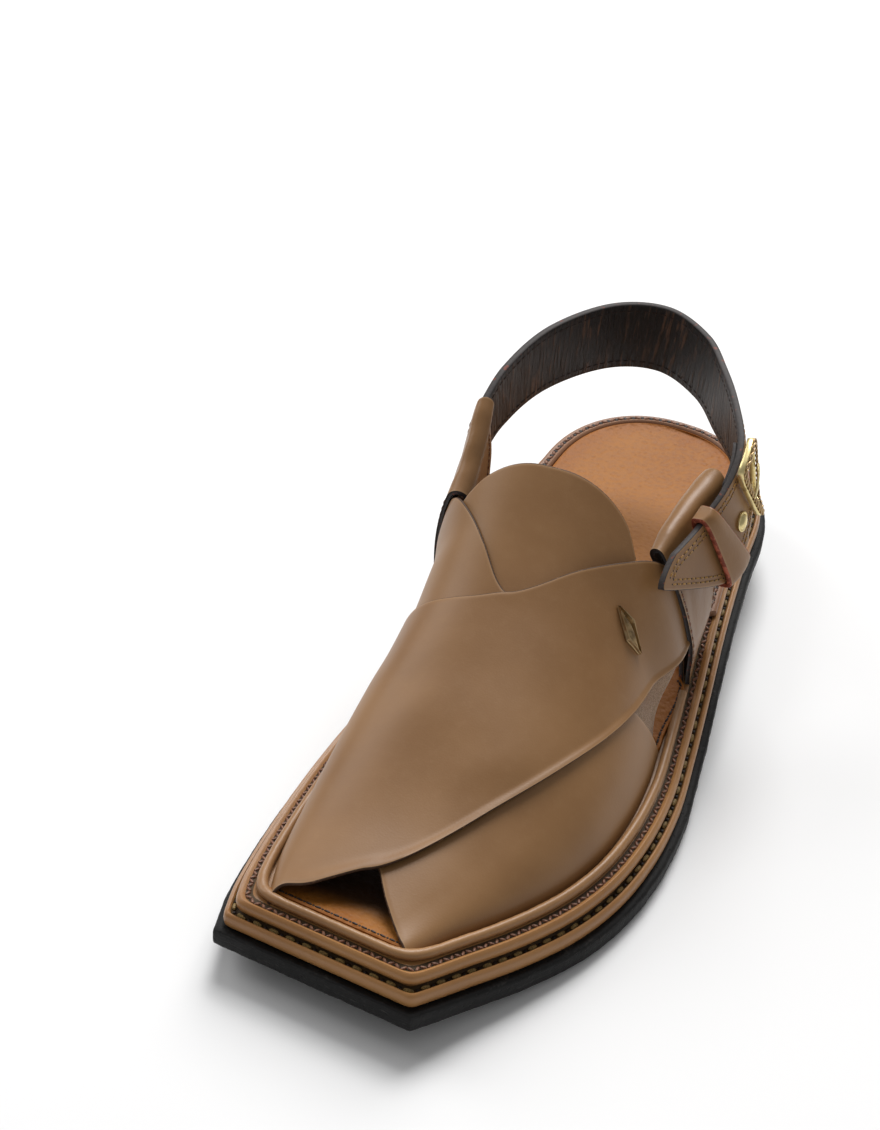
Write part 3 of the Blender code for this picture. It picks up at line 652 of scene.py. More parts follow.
class Paint:
    """The node tree of one material."""

    def __init__(self, name: str) -> None:
        """Starts a material with its Principled shader."""
        self.material = bpy.data.materials.new(name)
        self.material.use_nodes = True
        self.tree = self.material.node_tree
        self.shader = self.tree.nodes["Principled BSDF"]

    def node(self, kind: str, settings: dict | None = None, values: dict | None = None,
             output: int | str = 0) -> Value:
        """Adds a node.

        Args:
            kind: the node's type.
            settings: its own settings, set first.
            values: numbers, colours or links for its sockets, by name or number.
            output: the socket to return.

        Returns:
            The chosen output.
        """
        made = self.tree.nodes.new(kind)
        for key, value in (settings or {}).items():
            setattr(made, key, value)
        for key, value in (values or {}).items():
            self.feed(made.inputs[key], value)
        return Value(self, made.outputs[output])

    def feed(self, socket: bpy.types.NodeSocket, value: "Value | float | tuple") -> None:
        """Links a value to a socket or sets the socket's own number.

        Args:
            socket: the socket to feed.
            value: a link, a number, or a colour of three numbers.
        """
        if isinstance(value, Value):
            self.tree.links.new(value.socket, socket)
        elif isinstance(value, tuple) and len(value) == 3 and socket.type == "RGBA":
            socket.default_value = (*value, 1)
        else:
            socket.default_value = value

    @cached_property
    def place(self) -> Value:
        """Object coordinates, in metres."""
        return self.node("ShaderNodeTexCoord", output="Object")

    def mark(self, name: str) -> Value:
        """A number kept at the mesh's points."""
        return self.node("ShaderNodeAttribute", {"attribute_name": name}, output="Fac")

    def vector(self, x: Value | float, y: Value | float, z: Value | float = 0.0) -> Value:
        """A vector of three numbers."""
        return self.node("ShaderNodeCombineXYZ", values={0: x, 1: y, 2: z})

    def noise(self, scale: float, detail: float = 3.0, vector: Value | None = None,
              rough: float = 0.5) -> Value:
        """Noise from 0 to 1."""
        return self.node("ShaderNodeTexNoise", values={
            "Vector": vector or self.place, "Scale": scale, "Detail": detail, "Roughness": rough})

    def cells(self, scale: float, feature: str = "F1", vector: Value | None = None) -> Value:
        """Distance to a random point or cell wall."""
        return self.node("ShaderNodeTexVoronoi", {"feature": feature},
                         {"Vector": vector or self.place, "Scale": scale}, "Distance")

    def mix(self, share: Value | float, low: "Value | tuple", high: "Value | tuple") -> Value:
        """A colour between two."""
        return self.node("ShaderNodeMix", {"data_type": "RGBA"}, {0: share, 6: low, 7: high}, 2)

    def bump(self, height: Value, distance: float, strength: float = 1.0,
             normal: Value | None = None) -> Value:
        """A normal from a height, on top of another."""
        values = {"Height": height, "Distance": distance, "Strength": strength}
        return self.node("ShaderNodeBump", values=values | ({"Normal": normal} if normal else {}))

    def finish(self, colour: "Value | tuple", roughness: "Value | float", normal: Value | None = None,
               **numbers: float) -> bpy.types.Material:
        """Feeds the shader and returns the material.

        Args:
            colour: base colour.
            roughness: how matt it is.
            normal: its relief.
            numbers: the shader's own sockets, with underscores for spaces.

        Returns:
            The material.
        """
        self.feed(self.shader.inputs["Base Color"], colour)
        self.feed(self.shader.inputs["Roughness"], roughness)
        if normal:
            self.feed(self.shader.inputs["Normal"], normal)
        for key, value in numbers.items():
            self.shader.inputs[key.replace("_", " ")].default_value = value
        return self.material


def shade(red: int, green: int, blue: int) -> tuple[float, float, float]:
    """A screen colour as linear light, by the sRGB curve's power part."""
    return tuple(((c / 255 + 0.055) / 1.055) ** 2.4 for c in (red, green, blue))


@dataclass(frozen=True)
class SmoothLeather:
    """Dressed leather: soft mottling, fine pores, a slight burnish and lighter cut edges."""

    name: str
    colour: tuple[float, float, float]
    dark: tuple[float, float, float]
    light: tuple[float, float, float]
    gloss: float = 0.42
    pore: float = 1500.0
    depth: float = 0.000035
    crumple: float = 0.0
    edge: float = 0.0009

    def make(self) -> bpy.types.Material:
        """Mottling mixes dark and light into the colour, pores and crumples make the relief."""
        paint = Paint(self.name)
        broad = paint.noise(22, 4).between(0.30, 0.72)
        fine = paint.noise(260, 5, rough=0.7)
        colour = paint.mix(broad, self.dark, self.colour)
        colour = paint.mix(fine.between(0.45, 0.85) * 0.07, colour, self.light)
        worn = (1 - paint.mark("edge").between(0.0, self.edge)) * 0.25
        colour = paint.mix(worn, colour, self.light)
        pores = paint.cells(self.pore) * 0.6 + paint.noise(self.pore * 0.7, 2) * 0.4
        normal = paint.bump(pores, self.depth, 0.6)
        if self.crumple:
            folds = paint.noise(110, 3, rough=0.6)
            normal = paint.bump(folds, self.crumple, 0.8, normal)
        roughness = self.gloss + (fine - 0.5) * 0.08 + (broad - 0.5) * 0.05
        return paint.finish(colour, roughness, normal, Specular_IOR_Level=0.4)


@dataclass(frozen=True)
class CutEdge:
    """A cut or painted leather edge: fibres along it and specks of another colour."""

    name: str
    colour: tuple[float, float, float]
    speck: tuple[float, float, float]
    amount: float = 0.62

    def make(self) -> bpy.types.Material:
        """Stretched noise for fibres and sparse cells for specks."""
        paint = Paint(self.name)
        fibre = paint.noise(900, 4, rough=0.7)
        speck = paint.noise(420, 2).between(self.amount, self.amount + 0.08)
        colour = paint.mix(fibre.between(0.35, 0.7) * 0.5, self.colour, tuple(c * 0.4 for c in self.colour))
        colour = paint.mix(speck, colour, self.speck)
        return paint.finish(colour, 0.62, paint.bump(fibre, 0.00012, 0.7), Specular_IOR_Level=0.3)


@dataclass(frozen=True)
class CreasedLining:
    """Thin black lining leather, creased across the strap where it bends."""

    name: str = "creased_lining"

    def make(self) -> bpy.types.Material:
        """Noise squeezed along the run gives long creases across, with painted brown highlights on their
        ridges.
        """
        paint = Paint(self.name)
        lined = paint.vector(paint.mark("run") * 620, paint.mark("across") * 70)
        crease = paint.noise(1.0, 4, lined, 0.6)
        broad = paint.noise(1.0, 2, paint.vector(paint.mark("run") * 90, paint.mark("across") * 30))
        # ridge marks the crease ridges that take a painted brown highlight
        ridge = crease.between(0.50, 0.66) * broad.between(0.30, 0.62)
        colour = paint.mix(ridge * 0.85, shade(19, 13, 10), shade(104, 74, 54))
        normal = paint.bump(paint.cells(1300), 0.00005, 0.5)
        normal = paint.bump(crease, 0.0013, 1.0, normal)
        return paint.finish(colour, 0.42 + crease * 0.2, normal, Specular_IOR_Level=0.5)


@dataclass(frozen=True)
class FootbedLeather:
    """Caramel footbed leather with pebbled grain, burnished at its edge, with painted shade where the vamp
    covers it.
    """

    name: str = "footbed_leather"

    def make(self) -> bpy.types.Material:
        """Soft-walled cells give the pebbles; the edge mark darkens the rim, and the deep mark paints the
        shade that falls where the vamp covers the insole.
        """
        paint = Paint(self.name)
        warp = paint.noise(300, 2)
        pebble = paint.cells(560, "SMOOTH_F1") * 0.7 + paint.noise(900, 3) * 0.35 + warp * 0.3
        broad = paint.noise(18, 4).between(0.3, 0.75)
        colour = paint.mix(broad, shade(138, 82, 22), shade(154, 97, 34))
        colour = paint.mix(pebble.between(0.35, 0.9) * 0.4, colour, shade(170, 112, 50))
        burnish = 1 - paint.mark("edge").between(0.0, 0.012)
        colour = paint.mix(burnish * 0.5, colour, shade(138, 78, 24))
        # painted shade: the deep mark mixes near-black brown into the insole where it lies under the vamp
        colour = paint.mix(paint.mark("deep") * 0.9, colour, shade(30, 19, 12))
        return paint.finish(colour, 0.46 + pebble * 0.14, paint.bump(pebble, 0.00045, 1.0),
                            Specular_IOR_Level=0.22)


@dataclass(frozen=True)
class SawnRubber:
    """Black tyre rubber, sawn and scraped: dull, with grey scuffs and small pits."""

    name: str
    gloss: float = 0.6
    scuff: tuple[float, float, float] = (0.055, 0.052, 0.049)

    def make(self) -> bpy.types.Material:
        """Streaks that run level round the side, pits from sparse cells."""
        paint = Paint(self.name)
        split = paint.node("ShaderNodeSeparateXYZ", values={0: paint.place})
        deep = paint.node("ShaderNodeSeparateXYZ", values={0: paint.place}, output=2)
        streak = paint.noise(1.0, 5, paint.vector(split * 160, paint.noise(30) * 4, deep * 1500), 0.65)
        pit = paint.cells(420).between(0.10, 0.24)
        rough = paint.noise(700, 4, rough=0.7)
        scuffed = streak.between(0.50, 0.72) * rough.between(0.35, 0.7)
        colour = paint.mix(scuffed * 0.8, (0.006, 0.0057, 0.0055), self.scuff)
        normal = paint.bump(rough, 0.00018, 0.8)
        normal = paint.bump(streak, 0.0003, 0.6, normal)
        normal = paint.bump(pit, 0.0002, 0.6, normal)
        return paint.finish(colour, self.gloss + (streak - 0.5) * 0.3, normal, Specular_IOR_Level=0.2)


@dataclass(frozen=True)
class Suede:
    """The fuzzy flesh side of the lining."""

    name: str = "suede_web"

    def make(self) -> bpy.types.Material:
        """Fine rough noise in colour and relief, with a little sheen."""
        paint = Paint(self.name)
        nap = paint.noise(1600, 5, rough=0.8)
        broad = paint.noise(90, 3)
        colour = paint.mix(nap.between(0.3, 0.7), shade(124, 94, 70), shade(190, 158, 128))
        colour = paint.mix(broad.between(0.4, 0.8) * 0.4, colour, shade(150, 100, 66))
        return paint.finish(colour, 0.9, paint.bump(nap, 0.0003, 0.9), Specular_IOR_Level=0.2,
                            Sheen_Weight=0.3)


@dataclass(frozen=True)
class Thread:
    """Waxed thread with a twist."""

    name: str
    colour: tuple[float, float, float]

    def make(self) -> bpy.types.Material:
        """Slanted fine noise stands for the twist."""
        paint = Paint(self.name)
        twist = paint.noise(2200, 2)
        colour = paint.mix(twist.between(0.35, 0.65), tuple(c * 0.45 for c in self.colour), self.colour)
        return paint.finish(colour, 0.55, paint.bump(twist, 0.0001, 0.8), Specular_IOR_Level=0.35)


@dataclass(frozen=True)
class Gold:
    """Plated metal, brushed and slightly worn."""

    name: str
    colour: tuple[float, float, float]
    tarnish: tuple[float, float, float]
    gloss: float = 0.24

    def make(self) -> bpy.types.Material:
        """Tarnish gathers in broad noise; fine noise breaks the gloss."""
        paint = Paint(self.name)
        broad = paint.noise(240, 4, rough=0.6)
        fine = paint.noise(1400, 3)
        colour = paint.mix(broad.between(0.5, 0.75) * 0.7, self.colour, self.tarnish)
        return paint.finish(colour, self.gloss + fine * 0.18, paint.bump(fine, 0.00003, 0.5), Metallic=1.0)


class Finishes:
    """Every finish of the shoe, made once."""

    def __init__(self) -> None:
        """Makes the materials."""
        tan, deep, pale = shade(145, 107, 68), shade(130, 93, 56), shade(182, 147, 108)
        self.vamp = SmoothLeather("vamp_leather", tan, deep, pale).make()
        self.sleeve = SmoothLeather("sleeve_leather", tan, deep, pale, crumple=0.0003).make()
        self.strap = SmoothLeather("strap_leather", tan, deep, pale, gloss=0.46).make()
        self.bead = SmoothLeather("bead_leather", shade(146, 103, 60), shade(120, 79, 42), pale, 0.38,
                                  crumple=0.0003).make()
        self.welt = SmoothLeather("welt_leather", shade(148, 101, 54), shade(124, 78, 36),
                                  shade(188, 146, 98), 0.36, crumple=0.0003).make()
        self.groove = CutEdge("stitch_groove", shade(74, 54, 28), shade(96, 72, 36)).make()
        self.rim = SmoothLeather("rim_leather", shade(130, 90, 62), shade(104, 68, 46), shade(160, 120, 90),
                                 0.5).make()
        self.flesh = CutEdge("flesh_side", shade(96, 68, 46), shade(120, 90, 64), 0.5).make()
        self.raw = CutEdge("raw_edge", shade(72, 50, 34), shade(104, 76, 52), 0.6).make()
        self.inside = CutEdge("vamp_lining", shade(26, 20, 17), shade(44, 34, 28), 0.6).make()
        self.dark_edge = CutEdge("dark_edge", shade(66, 61, 60), shade(116, 64, 52), 0.64).make()
        self.red_edge = CutEdge("red_edge", shade(132, 62, 42), shade(172, 92, 66), 0.5).make()
        self.lining = CreasedLining().make()
        self.footbed = FootbedLeather().make()
        self.rubber = SawnRubber("sawn_rubber").make()
        self.heel = SawnRubber("heel_rubber", 0.38, (0.10, 0.10, 0.10)).make()
        self.suede = Suede().make()
        self.mauve = Thread("mauve_thread", shade(138, 94, 70)).make()
        self.olive = Thread("olive_thread", shade(158, 132, 82)).make()
        self.amber = Thread("amber_thread", shade(178, 134, 70)).make()
        self.black = Thread("black_thread", shade(52, 34, 26)).make()
        self.hole = Thread("needle_hole", shade(38, 24, 18)).make()
        self.gold = Gold("pale_gold", shade(228, 210, 154), shade(160, 138, 88), 0.26).make()
        self.antique = Gold("antique_gold", shade(176, 150, 112), shade(70, 56, 42), 0.3).make()


@dataclass
class Sole:
    """Outsole, heel block, welts, bead, heel rim and insole, with their rows of stitches."""

    finishes: Finishes
    outsole_top: float = 0.0070
    lower_top: float = 0.0128
    upper_top: float = 0.0176
    insole: float = 0.0024
    lower_step: float = 0.0026
    upper_step: float = 0.0056
    bead_inset: float = 0.0101
    bead_width: float = 0.0032
    bead_height: float = 0.0034
    bead_end: float = 0.53
    rim_start: float = 0.64
    rim_ledge: float = 0.0012
    rim_width: float = 0.0048
    gap: float = 0.0003
    dish: float = 0.0009
    toe_reach: float = 0.0032
    notch: tuple[float, float, float, float] = (0.444, 0.456, 0.545, 0.560)
    waver: float = 0.00022
    ripples: float = 0.05
    taper: tuple[float, float] = (0.0012, 0.0016)
    ledge_sewing: Stitching = Stitching(0.0058, 0.0034, 0.0014, 0.0014, hole=0.0012)
    bead_sewing: Stitching = Stitching(0.0021, 0.0024, 0.0011, 0.0010, slant=0.75, hole=0.0005)
    rim_sewing: Stitching = Stitching(0.0034, 0.0028, 0.0014, 0.0010, slant=0.5, hole=0.0017)
    insole_sewing: Stitching = Stitching(0.0032, 0.0022, 0.0008, 0.0007, hole=0.0008)

    def band(self, profile: Rows, corner: float) -> Array:
        """Rings of a layer's side: each profile row holds an inset and a height over the underside.

        Args:
            profile: rows from the bottom to the top.
            corner: rounding of the toe corners.

        Returns:
            (rows, ring, 3).
        """
        return np.stack([FORM.laid(FORM.ring(inset, corner), level) for inset, level in profile])

    def wrapped(self, name: str, profile: Rows, step: float, corner: float, node: str) -> None:
        """A closed leather-wrapped layer with a dark stitch channel between its ninth and twelfth row.

        Args:
            name: the piece's name.
            profile: rows of inset from the layer's own step and height, from the bottom to the top.
            step: the layer's inset from the outsole's edge.
            corner: rounding of the toe corners.
            node: the frame's node that it stands for.
        """
        rings = self.band([(step + more, level) for more, level in profile], corner)
        first, last = 8, 11
        body = Body().grid(rings[: first + 1], columns_close=True).grid(rings[last:], columns_close=True)
        body.grid(rings[first : last + 1], Zone.EDGE, columns_close=True)
        body.grid(across(rings[0], 9)).grid(across(rings[-1], 9))
        body.make(name, [self.finishes.welt, self.finishes.groove], "welt_leather", [node])

    def outsole(self) -> None:
        """Black rubber sheet, its sawn side wavering by tenths of a millimetre on mixed sine waves."""
        top = self.outsole_top
        profile = ((0.0011, 0.0), (0.0004, 0.0005), (0.0001, 0.0013), (0.0, 0.0026), (0.0, 0.0040),
                   (0.0, 0.0054), (0.0002, top - 0.0007), (0.0009, top - 0.0001), (0.0022, top),
                   (0.0060, top))
        rings = self.band(profile, 0.0006)
        run = np.arange(rings.shape[1]) * FORM.ring_step
        waver = ripple(run, (31, 0.4), (74, 1.9), (133, 4.1), (287, 2.2)) * self.waver
        centre = rings[:, :, :2].mean(axis=1, keepdims=True)
        away = unit(rings[:, :, :2] - centre)
        share = np.array([0.5, 0.8, 1, 1, 1, 1, 0.9, 0.6, 0.0, 0.0])[:, None, None]
        rings[:, :, :2] += away * waver[None, :, None] * share
        body = Body().grid(rings, columns_close=True)
        body.grid(across(rings[0], 25)).grid(across(rings[-1], 9))
        body.make("outsole_rubber", [self.finishes.rubber], "black_rubber", ["outsole"])

    def heel_block(self) -> None:
        """Separate heel under the seat: the outline's rear part, tapering down, its breast straight."""
        flare, taper = self.taper
        ring = FORM.ring(0.0)
        kept = np.flatnonzero(FORM.along_of(ring[:, 1]) >= FORM.breast)
        seat = FORM.heel_height - self.gap
        rows = []
        for share in (0.0, 0.03, 0.10, 0.30, 0.47, 0.49, 0.52, 0.54, 0.75, 0.93, 1.0):
            groove = 0.0005 if 0.48 < share < 0.53 else 0.0
            eased = 0.0006 if share in (0.0, 1.0) else 0.0
            line = FORM.ring(flare + taper * (1 - share) + groove + eased)[kept]
            rows.append(np.column_stack([line, np.full(len(line), seat * share)]))
        side = np.stack(rows)
        half = side.shape[1] // 2
        body = Body().grid(side)
        share = np.linspace(0, 1, 17)[None, :, None]
        for index in (0, -1):
            one, other = side[index, : half + 1], side[index, ::-1][: half + 1]
            body.grid(one[:, None] * (1 - share) + other[:, None] * share)
        front = side[:, :1] * (1 - share) + side[:, -1:] * share
        body.grid(front)
        body.make("heel_block_rubber", [self.finishes.heel], "black_rubber", ["heel_block"])

    def lower_welt(self) -> None:
        """Lower wrapped layer: rolled edge, then a groove for its stitches beside the layer above."""
        low, top = self.outsole_top + self.gap, self.lower_top
        profile = ((0.0009, low), (0.0002, low + 0.0006), (0.0, low + 0.0017), (-0.0001, low + 0.0030),
                   (0.0, top - 0.0013), (0.0003, top - 0.0005), (0.0009, top), (0.0014, top - 0.0001),
                   (0.0018, top - 0.0007), (0.0023, top - 0.0011), (0.0036, top - 0.0011),
                   (0.0044, top - 0.0004), (0.0060, top - 0.0002))
        self.wrapped("lower_welt_wrap", profile, self.lower_step, 0.0014, "lower_welt")

    def upper_welt(self) -> None:
        """Upper wrapped layer: rolled edge, raised lip and a shallow channel for the bead's stitches."""
        low, top = self.lower_top + self.gap, self.upper_top
        profile = ((0.0010, low), (0.0002, low + 0.0007), (0.0, low + 0.0016), (-0.0001, low + 0.0024),
                   (0.0, top - 0.0012), (0.0004, top - 0.0004), (0.0011, top + 0.0002),
                   (0.0018, top + 0.0001), (0.0024, top - 0.0005), (0.0031, top - 0.0007),
                   (0.0039, top - 0.0005), (0.0045, top - 0.0001), (0.0080, top))
        self.wrapped("upper_welt_wrap", profile, self.upper_step, 0.0024, "upper_welt")

    def strip(self, section: Rows, corner: float, front: bool) -> Array:
        """A strip along the outline, from one end to the other.

        Args:
            section: rows of inset and level.
            corner: rounding of the toe corners.
            front: the forefoot's stretch instead of the heel's.

        Returns:
            (stations, section, 3).
        """
        base = FORM.ring(self.bead_inset, corner)
        along = FORM.along_of(base[:, 1])
        if front:
            start = np.flatnonzero(along < self.bead_end)
            turned = (start + len(base) - FORM.toe_points) % len(base)
            kept = start[np.argsort((turned + len(base) // 2) % len(base))]
        else:
            kept = np.flatnonzero(along > self.rim_start)
        lines = [FORM.laid(FORM.ring(inset, corner)[kept], level) for inset, level in section]
        return np.stack(lines, axis=1)

    def tapered(self, grid: Array) -> Body:
        """A strip's mesh with its first end drawn in to a point and its last end left open."""
        first = np.broadcast_to(grid[:1].mean(axis=1, keepdims=True), grid[:1].shape)
        return Body().grid(np.concatenate([first, grid]), columns_close=True)

    def bead(self) -> None:
        """Round piping against the foot of the upper, its leather drawn into faint cross ripples."""
        wide = self.bead_width / 2
        middle = self.bead_inset + wide
        level = FORM.footbed + 0.42 * self.bead_height
        section = [(middle + 1.02 * wide * math.cos(angle), level + 0.56 * self.bead_height * math.sin(angle))
                   for angle in full_turn(16)]
        grid = self.strip(section, 0.0050, True)
        run = np.arange(len(grid)) * FORM.ring_step
        swell = 1 + self.ripples * ripple(run, (330, 0.0), (147, 1.1), (61, 2.7))
        core = grid.mean(axis=1, keepdims=True)
        grid = core + (grid - core) * swell[:, None, None]
        self.tapered(grid).make("bead_piping", [self.finishes.bead], "tan_leather", ["bead"])

    def heel_rim(self) -> None:
        """Flat rim leather round the open heel, its edges rolled over."""
        near = self.upper_step + self.rim_ledge
        far, base, top = near + self.rim_width, FORM.footbed, FORM.footbed + self.insole
        section = ((near + 0.0002, base), (near - 0.0001, base + 0.0009), (near + 0.0002, top - 0.0004),
                   (near + 0.0009, top), (near + 0.0024, top - 0.0003), (far - 0.0010, top + 0.0001),
                   (far - 0.0003, top - 0.0003), (far, top - 0.0010), (far, base))
        grid = self.strip(section, 0.0, False)
        self.tapered(grid).make("heel_rim_leather", [self.finishes.rim], "tan_leather", ["heel_rim"])

    def insole_edge(self) -> Array:
        """The insole's inset at each point of the outline: inside the upper in front, the rim behind."""
        inner = FORM.waist_inset(FORM.last_inset + 0.0006, FORM.heel_inset + 0.0021)
        far = self.upper_step + self.rim_ledge + self.rim_width + self.gap
        along = FORM.along_of(FORM.edge[:, 1])
        inner -= self.toe_reach * self.open_share(along)
        return inner + (far - inner) * ease(along, self.rim_start - 0.03, self.rim_start)

    def open_share(self, along: Array) -> Array:
        """1 where the insole runs out to the bead, at the toe edge and in the notches, and 0 elsewhere."""
        notch = ease(along, *self.notch[:2]) * (1 - ease(along, *self.notch[2:]))
        return 1 - ease(along, 0.01, 0.06) + notch

    def footbed(self) -> None:
        """Insole, dished by a square law across and most at the heel."""
        inner, top = self.insole_edge(), FORM.footbed + self.insole
        rows = ((0.0, FORM.footbed), (0.0, top - 0.0009), (0.0002, top - 0.0003), (0.0008, top))
        rings = self.band([(inner + more, level) for more, level in rows], 0.0012)
        body = Body().grid(rings, columns_close=True)
        body.grid(across(rings[0], 5))
        grid = across(rings[-1], 49)
        share = np.linspace(-1, 1, 49)[None, :]
        along = FORM.along_of(grid[..., 1])
        hollow = (1 - share**2) ** 0.6 * (0.35 + 0.9 * ease(along, 0.62, 0.86))
        grid[..., 2] -= self.dish * hollow * (1 - ease(along, 0.93, 1.0)) * ease(along, 0.05, 0.12)
        _, _, border = distances(grid)
        # deep marks where painted shade darkens the insole under the vamp
        deep = ease(along, 0.056, 0.088) * (1 - ease(along, 0.36, 0.43))
        body.grid(grid, marks={"edge": border, "deep": deep})
        body.make("insole_leather_bed", [self.finishes.footbed], "insole_leather", ["insole"])

    def row(self, inset: float | Array, level: float, corner: float, front: float = -1.0,
            rear: float = 2.0) -> Array:
        """A line along the outline between two shares of the length, in order from the medial side.

        Args:
            inset: distance inside the outsole's edge.
            level: height over the underside.
            corner: rounding of the toe corners.
            front: share past which the line is kept.
            rear: share up to which it is kept.

        Returns:
            The line's points, closed where all of the outline is kept.
        """
        ring = FORM.ring(inset, corner)
        along = FORM.along_of(ring[:, 1])
        kept = (along > front) & (along < rear)
        start = np.flatnonzero(kept & ~np.roll(kept, 1))
        ring = np.roll(ring, -start[0], axis=0)[: kept.sum()] if len(start) else np.vstack([ring, ring[:1]])
        return FORM.laid(ring, level)

    def sewn(self, name: str, sewing: Stitching, path: Array, thread: bpy.types.Material, slot: str) -> None:
        """A row of stitches on a level line, as its own piece.

        Args:
            name: the piece's name.
            sewing: its kind of stitch.
            path: the line.
            thread: the thread's finish.
            slot: the record's slot.
        """
        body = sewing.sew(Body(), path, np.broadcast_to([0.0, 0.0, 1.0], path.shape))
        body.make(name, [thread, self.finishes.hole], slot)

    def stitches(self) -> None:
        """Rows on both ledges, on the heel rim and along the forefoot's insole."""
        paint, level = self.finishes, FORM.footbed + self.insole
        line = self.row(self.lower_step + 0.0027, self.lower_top - 0.0007, 0.0016)
        self.sewn("lower_ledge_stitches", self.ledge_sewing, line, paint.olive, "tan_leather")
        line = self.row(self.upper_step + 0.0031, self.upper_top - 0.0004, 0.0026, rear=0.70)
        self.sewn("upper_ledge_stitches", self.bead_sewing, line, paint.mauve, "tan_leather")
        inset = self.upper_step + self.rim_ledge + 0.0024
        line = self.row(inset, level - 0.0001, 0.0, self.rim_start + 0.01)
        self.sewn("heel_rim_stitches", self.rim_sewing, line, paint.mauve, "tan_leather")
        inset = self.insole_edge() + 0.0034 - 0.0020 * self.open_share(FORM.along_of(FORM.edge[:, 1]))
        line = self.row(inset, level + 0.0001, 0.0012, rear=0.54)
        self.sewn("insole_stitches", self.insole_sewing, line, paint.black, "insole_leather")

    def build(self) -> None:
        """Makes every piece of the sole."""
        self.outsole()
        self.heel_block()
        self.lower_welt()
        self.upper_welt()
        self.bead()
        self.heel_rim()
        self.footbed()
        self.stitches()


@dataclass
class Vamp:
    """The two crossing panels, the tongue under them, and the suede web round the side notches."""

    finishes: Finishes
    lateral_toe: float = 0.0490
    medial_toe: float = 0.0577
    leather: float = 0.0012
    lower_offset: float = 0.0003
    upper_offset: float = 0.0017
    base_lift: float = 0.0010
    stud_top: float = 0.268
    stud_along: float = 0.470
    stud_turn: float = 4.0
    stud_slant: float = 0.12
    stud: tuple[float, float, float] = (0.022, 0.0075, 0.0017)
    medial_tip: tuple[float, float, float] = (0.0036, -0.0060, 0.0)
    lateral_tip: tuple[float, float, float] = (-0.0012, -0.0036, 0.0)
    tip_reach: tuple[float, float] = (0.14, 0.032)
    tongue: Rows = (
        (0, 0.300, 0.420, 0.262, 0.524), (1, 0.350, 0.375, 0.310, 0.540), (2, 0.430, 0.365, 0.400, 0.545),
        (3, 0.520, 0.365, 0.510, 0.541), (4, 0.600, 0.375, 0.610, 0.528), (5, 0.670, 0.400, 0.700, 0.510),
    )
    lateral_web: Rows = (
        (0, 0.100, 0.400, 0.000, 0.452), (1, 0.140, 0.430, 0.030, 0.468), (2, 0.150, 0.470, 0.048, 0.492),
        (3, 0.150, 0.505, 0.050, 0.520), (4, 0.140, 0.540, 0.036, 0.546),
    )
    medial_web: Rows = (
        (0, 0.900, 0.370, 1.000, 0.418), (1, 0.860, 0.400, 0.955, 0.432), (2, 0.840, 0.440, 0.935, 0.460),
        (3, 0.840, 0.480, 0.935, 0.495), (4, 0.850, 0.520, 0.950, 0.528),
    )
    # around, along, run around, run along, half width in metres of trough, depth in metres
    creases: Rows = (
        (0.62, 0.300, 0.10, -0.060, 0.0050, 0.00035), (0.40, 0.250, -0.12, 0.050, 0.0060, -0.00040),
        (0.25, 0.430, -0.05, 0.060, 0.0045, 0.00030), (0.78, 0.350, 0.06, 0.040, 0.0050, 0.00030),
        (0.20, 0.200, 0.02, 0.080, 0.0080, -0.00035),
    )

    @property
    def lower(self) -> Rows:
        """The lower panel: row, front around and along, rear around and along."""
        toe = self.lateral_toe
        return (
            (0, 0.000, toe, 0.000, 0.445), (1, 0.180, toe, 0.050, 0.432), (2, 0.355, 0.068, 0.150, 0.410),
            (3, 0.488, 0.106, 0.280, 0.395), (4, 0.620, 0.190, 0.400, 0.398),
            (5, 0.730, 0.290, 0.500, 0.418), (6, 0.790, 0.380, 0.575, 0.462),
            (7, 0.800, 0.460, 0.695, 0.512), (8, 0.840, 0.528, 0.785, 0.534),
            (9, 0.845, 0.545, 0.795, 0.548),
        )

    @property
    def upper(self) -> Rows:
        """The upper panel: row, front around and along, rear around and along."""
        toe = self.medial_toe
        return (
            (0, 1.000, toe, 1.000, 0.405), (1, 0.800, toe - 0.001, 0.880, 0.402),
            (2, 0.620, 0.067, 0.740, 0.400), (3, 0.467, 0.117, 0.600, 0.401),
            (4, 0.341, 0.219, 0.500, 0.418), (5, 0.205, 0.342, 0.358, 0.476),
            (6, 0.115, 0.455, 0.240, 0.530), (7, 0.063, 0.539, 0.184, 0.554),
            (8, 0.075, 0.560, 0.168, 0.569),
        )

    def surface(self, table: Rows, rows: int = 145, columns: int = 65) -> tuple[Array, Array]:
        """Around and along of a panel: straight lines on the last between its front and rear edges.

        Args:
            table: rows of the panel's front and rear edge.
            rows: points along the edges.
            columns: points from the front edge to the rear one.

        Returns:
            Places round the last and places along it.
        """
        edges = smooth_rows(table, np.linspace(table[0][0], table[-1][0], rows))
        share = np.linspace(0, 1, columns)[None, :, None]
        grid = edges[:, None, :2] * (1 - share) + edges[:, None, 2:] * share
        return np.clip(grid[..., 0], 0, 1), grid[..., 1]

    def relief(self, around: Array, along: Array) -> Array:
        """Sum of soft troughs: depth times a bell over the distance to each crease's line.

        Args:
            around: places round the last.
            along: places along it.

        Returns:
            Height in metres, inwards negative.
        """
        total = np.zeros(np.shape(around))
        wide = FORM.ball_width * 0.9
        for at, there, turn, run, half, depth in self.creases:
            x, y = (around - at) * wide, (along - there) * FORM.length
            dx, dy = turn * wide, run * FORM.length
            size = math.hypot(dx, dy)
            share = np.clip((x * dx + y * dy) / size**2, -1, 1)
            away = np.hypot(x - share * dx, y - share * dy)
            fade = np.cos(share * math.pi / 2) ** 2
            total -= depth * fade * np.exp(-((away / half) ** 2))
        return total

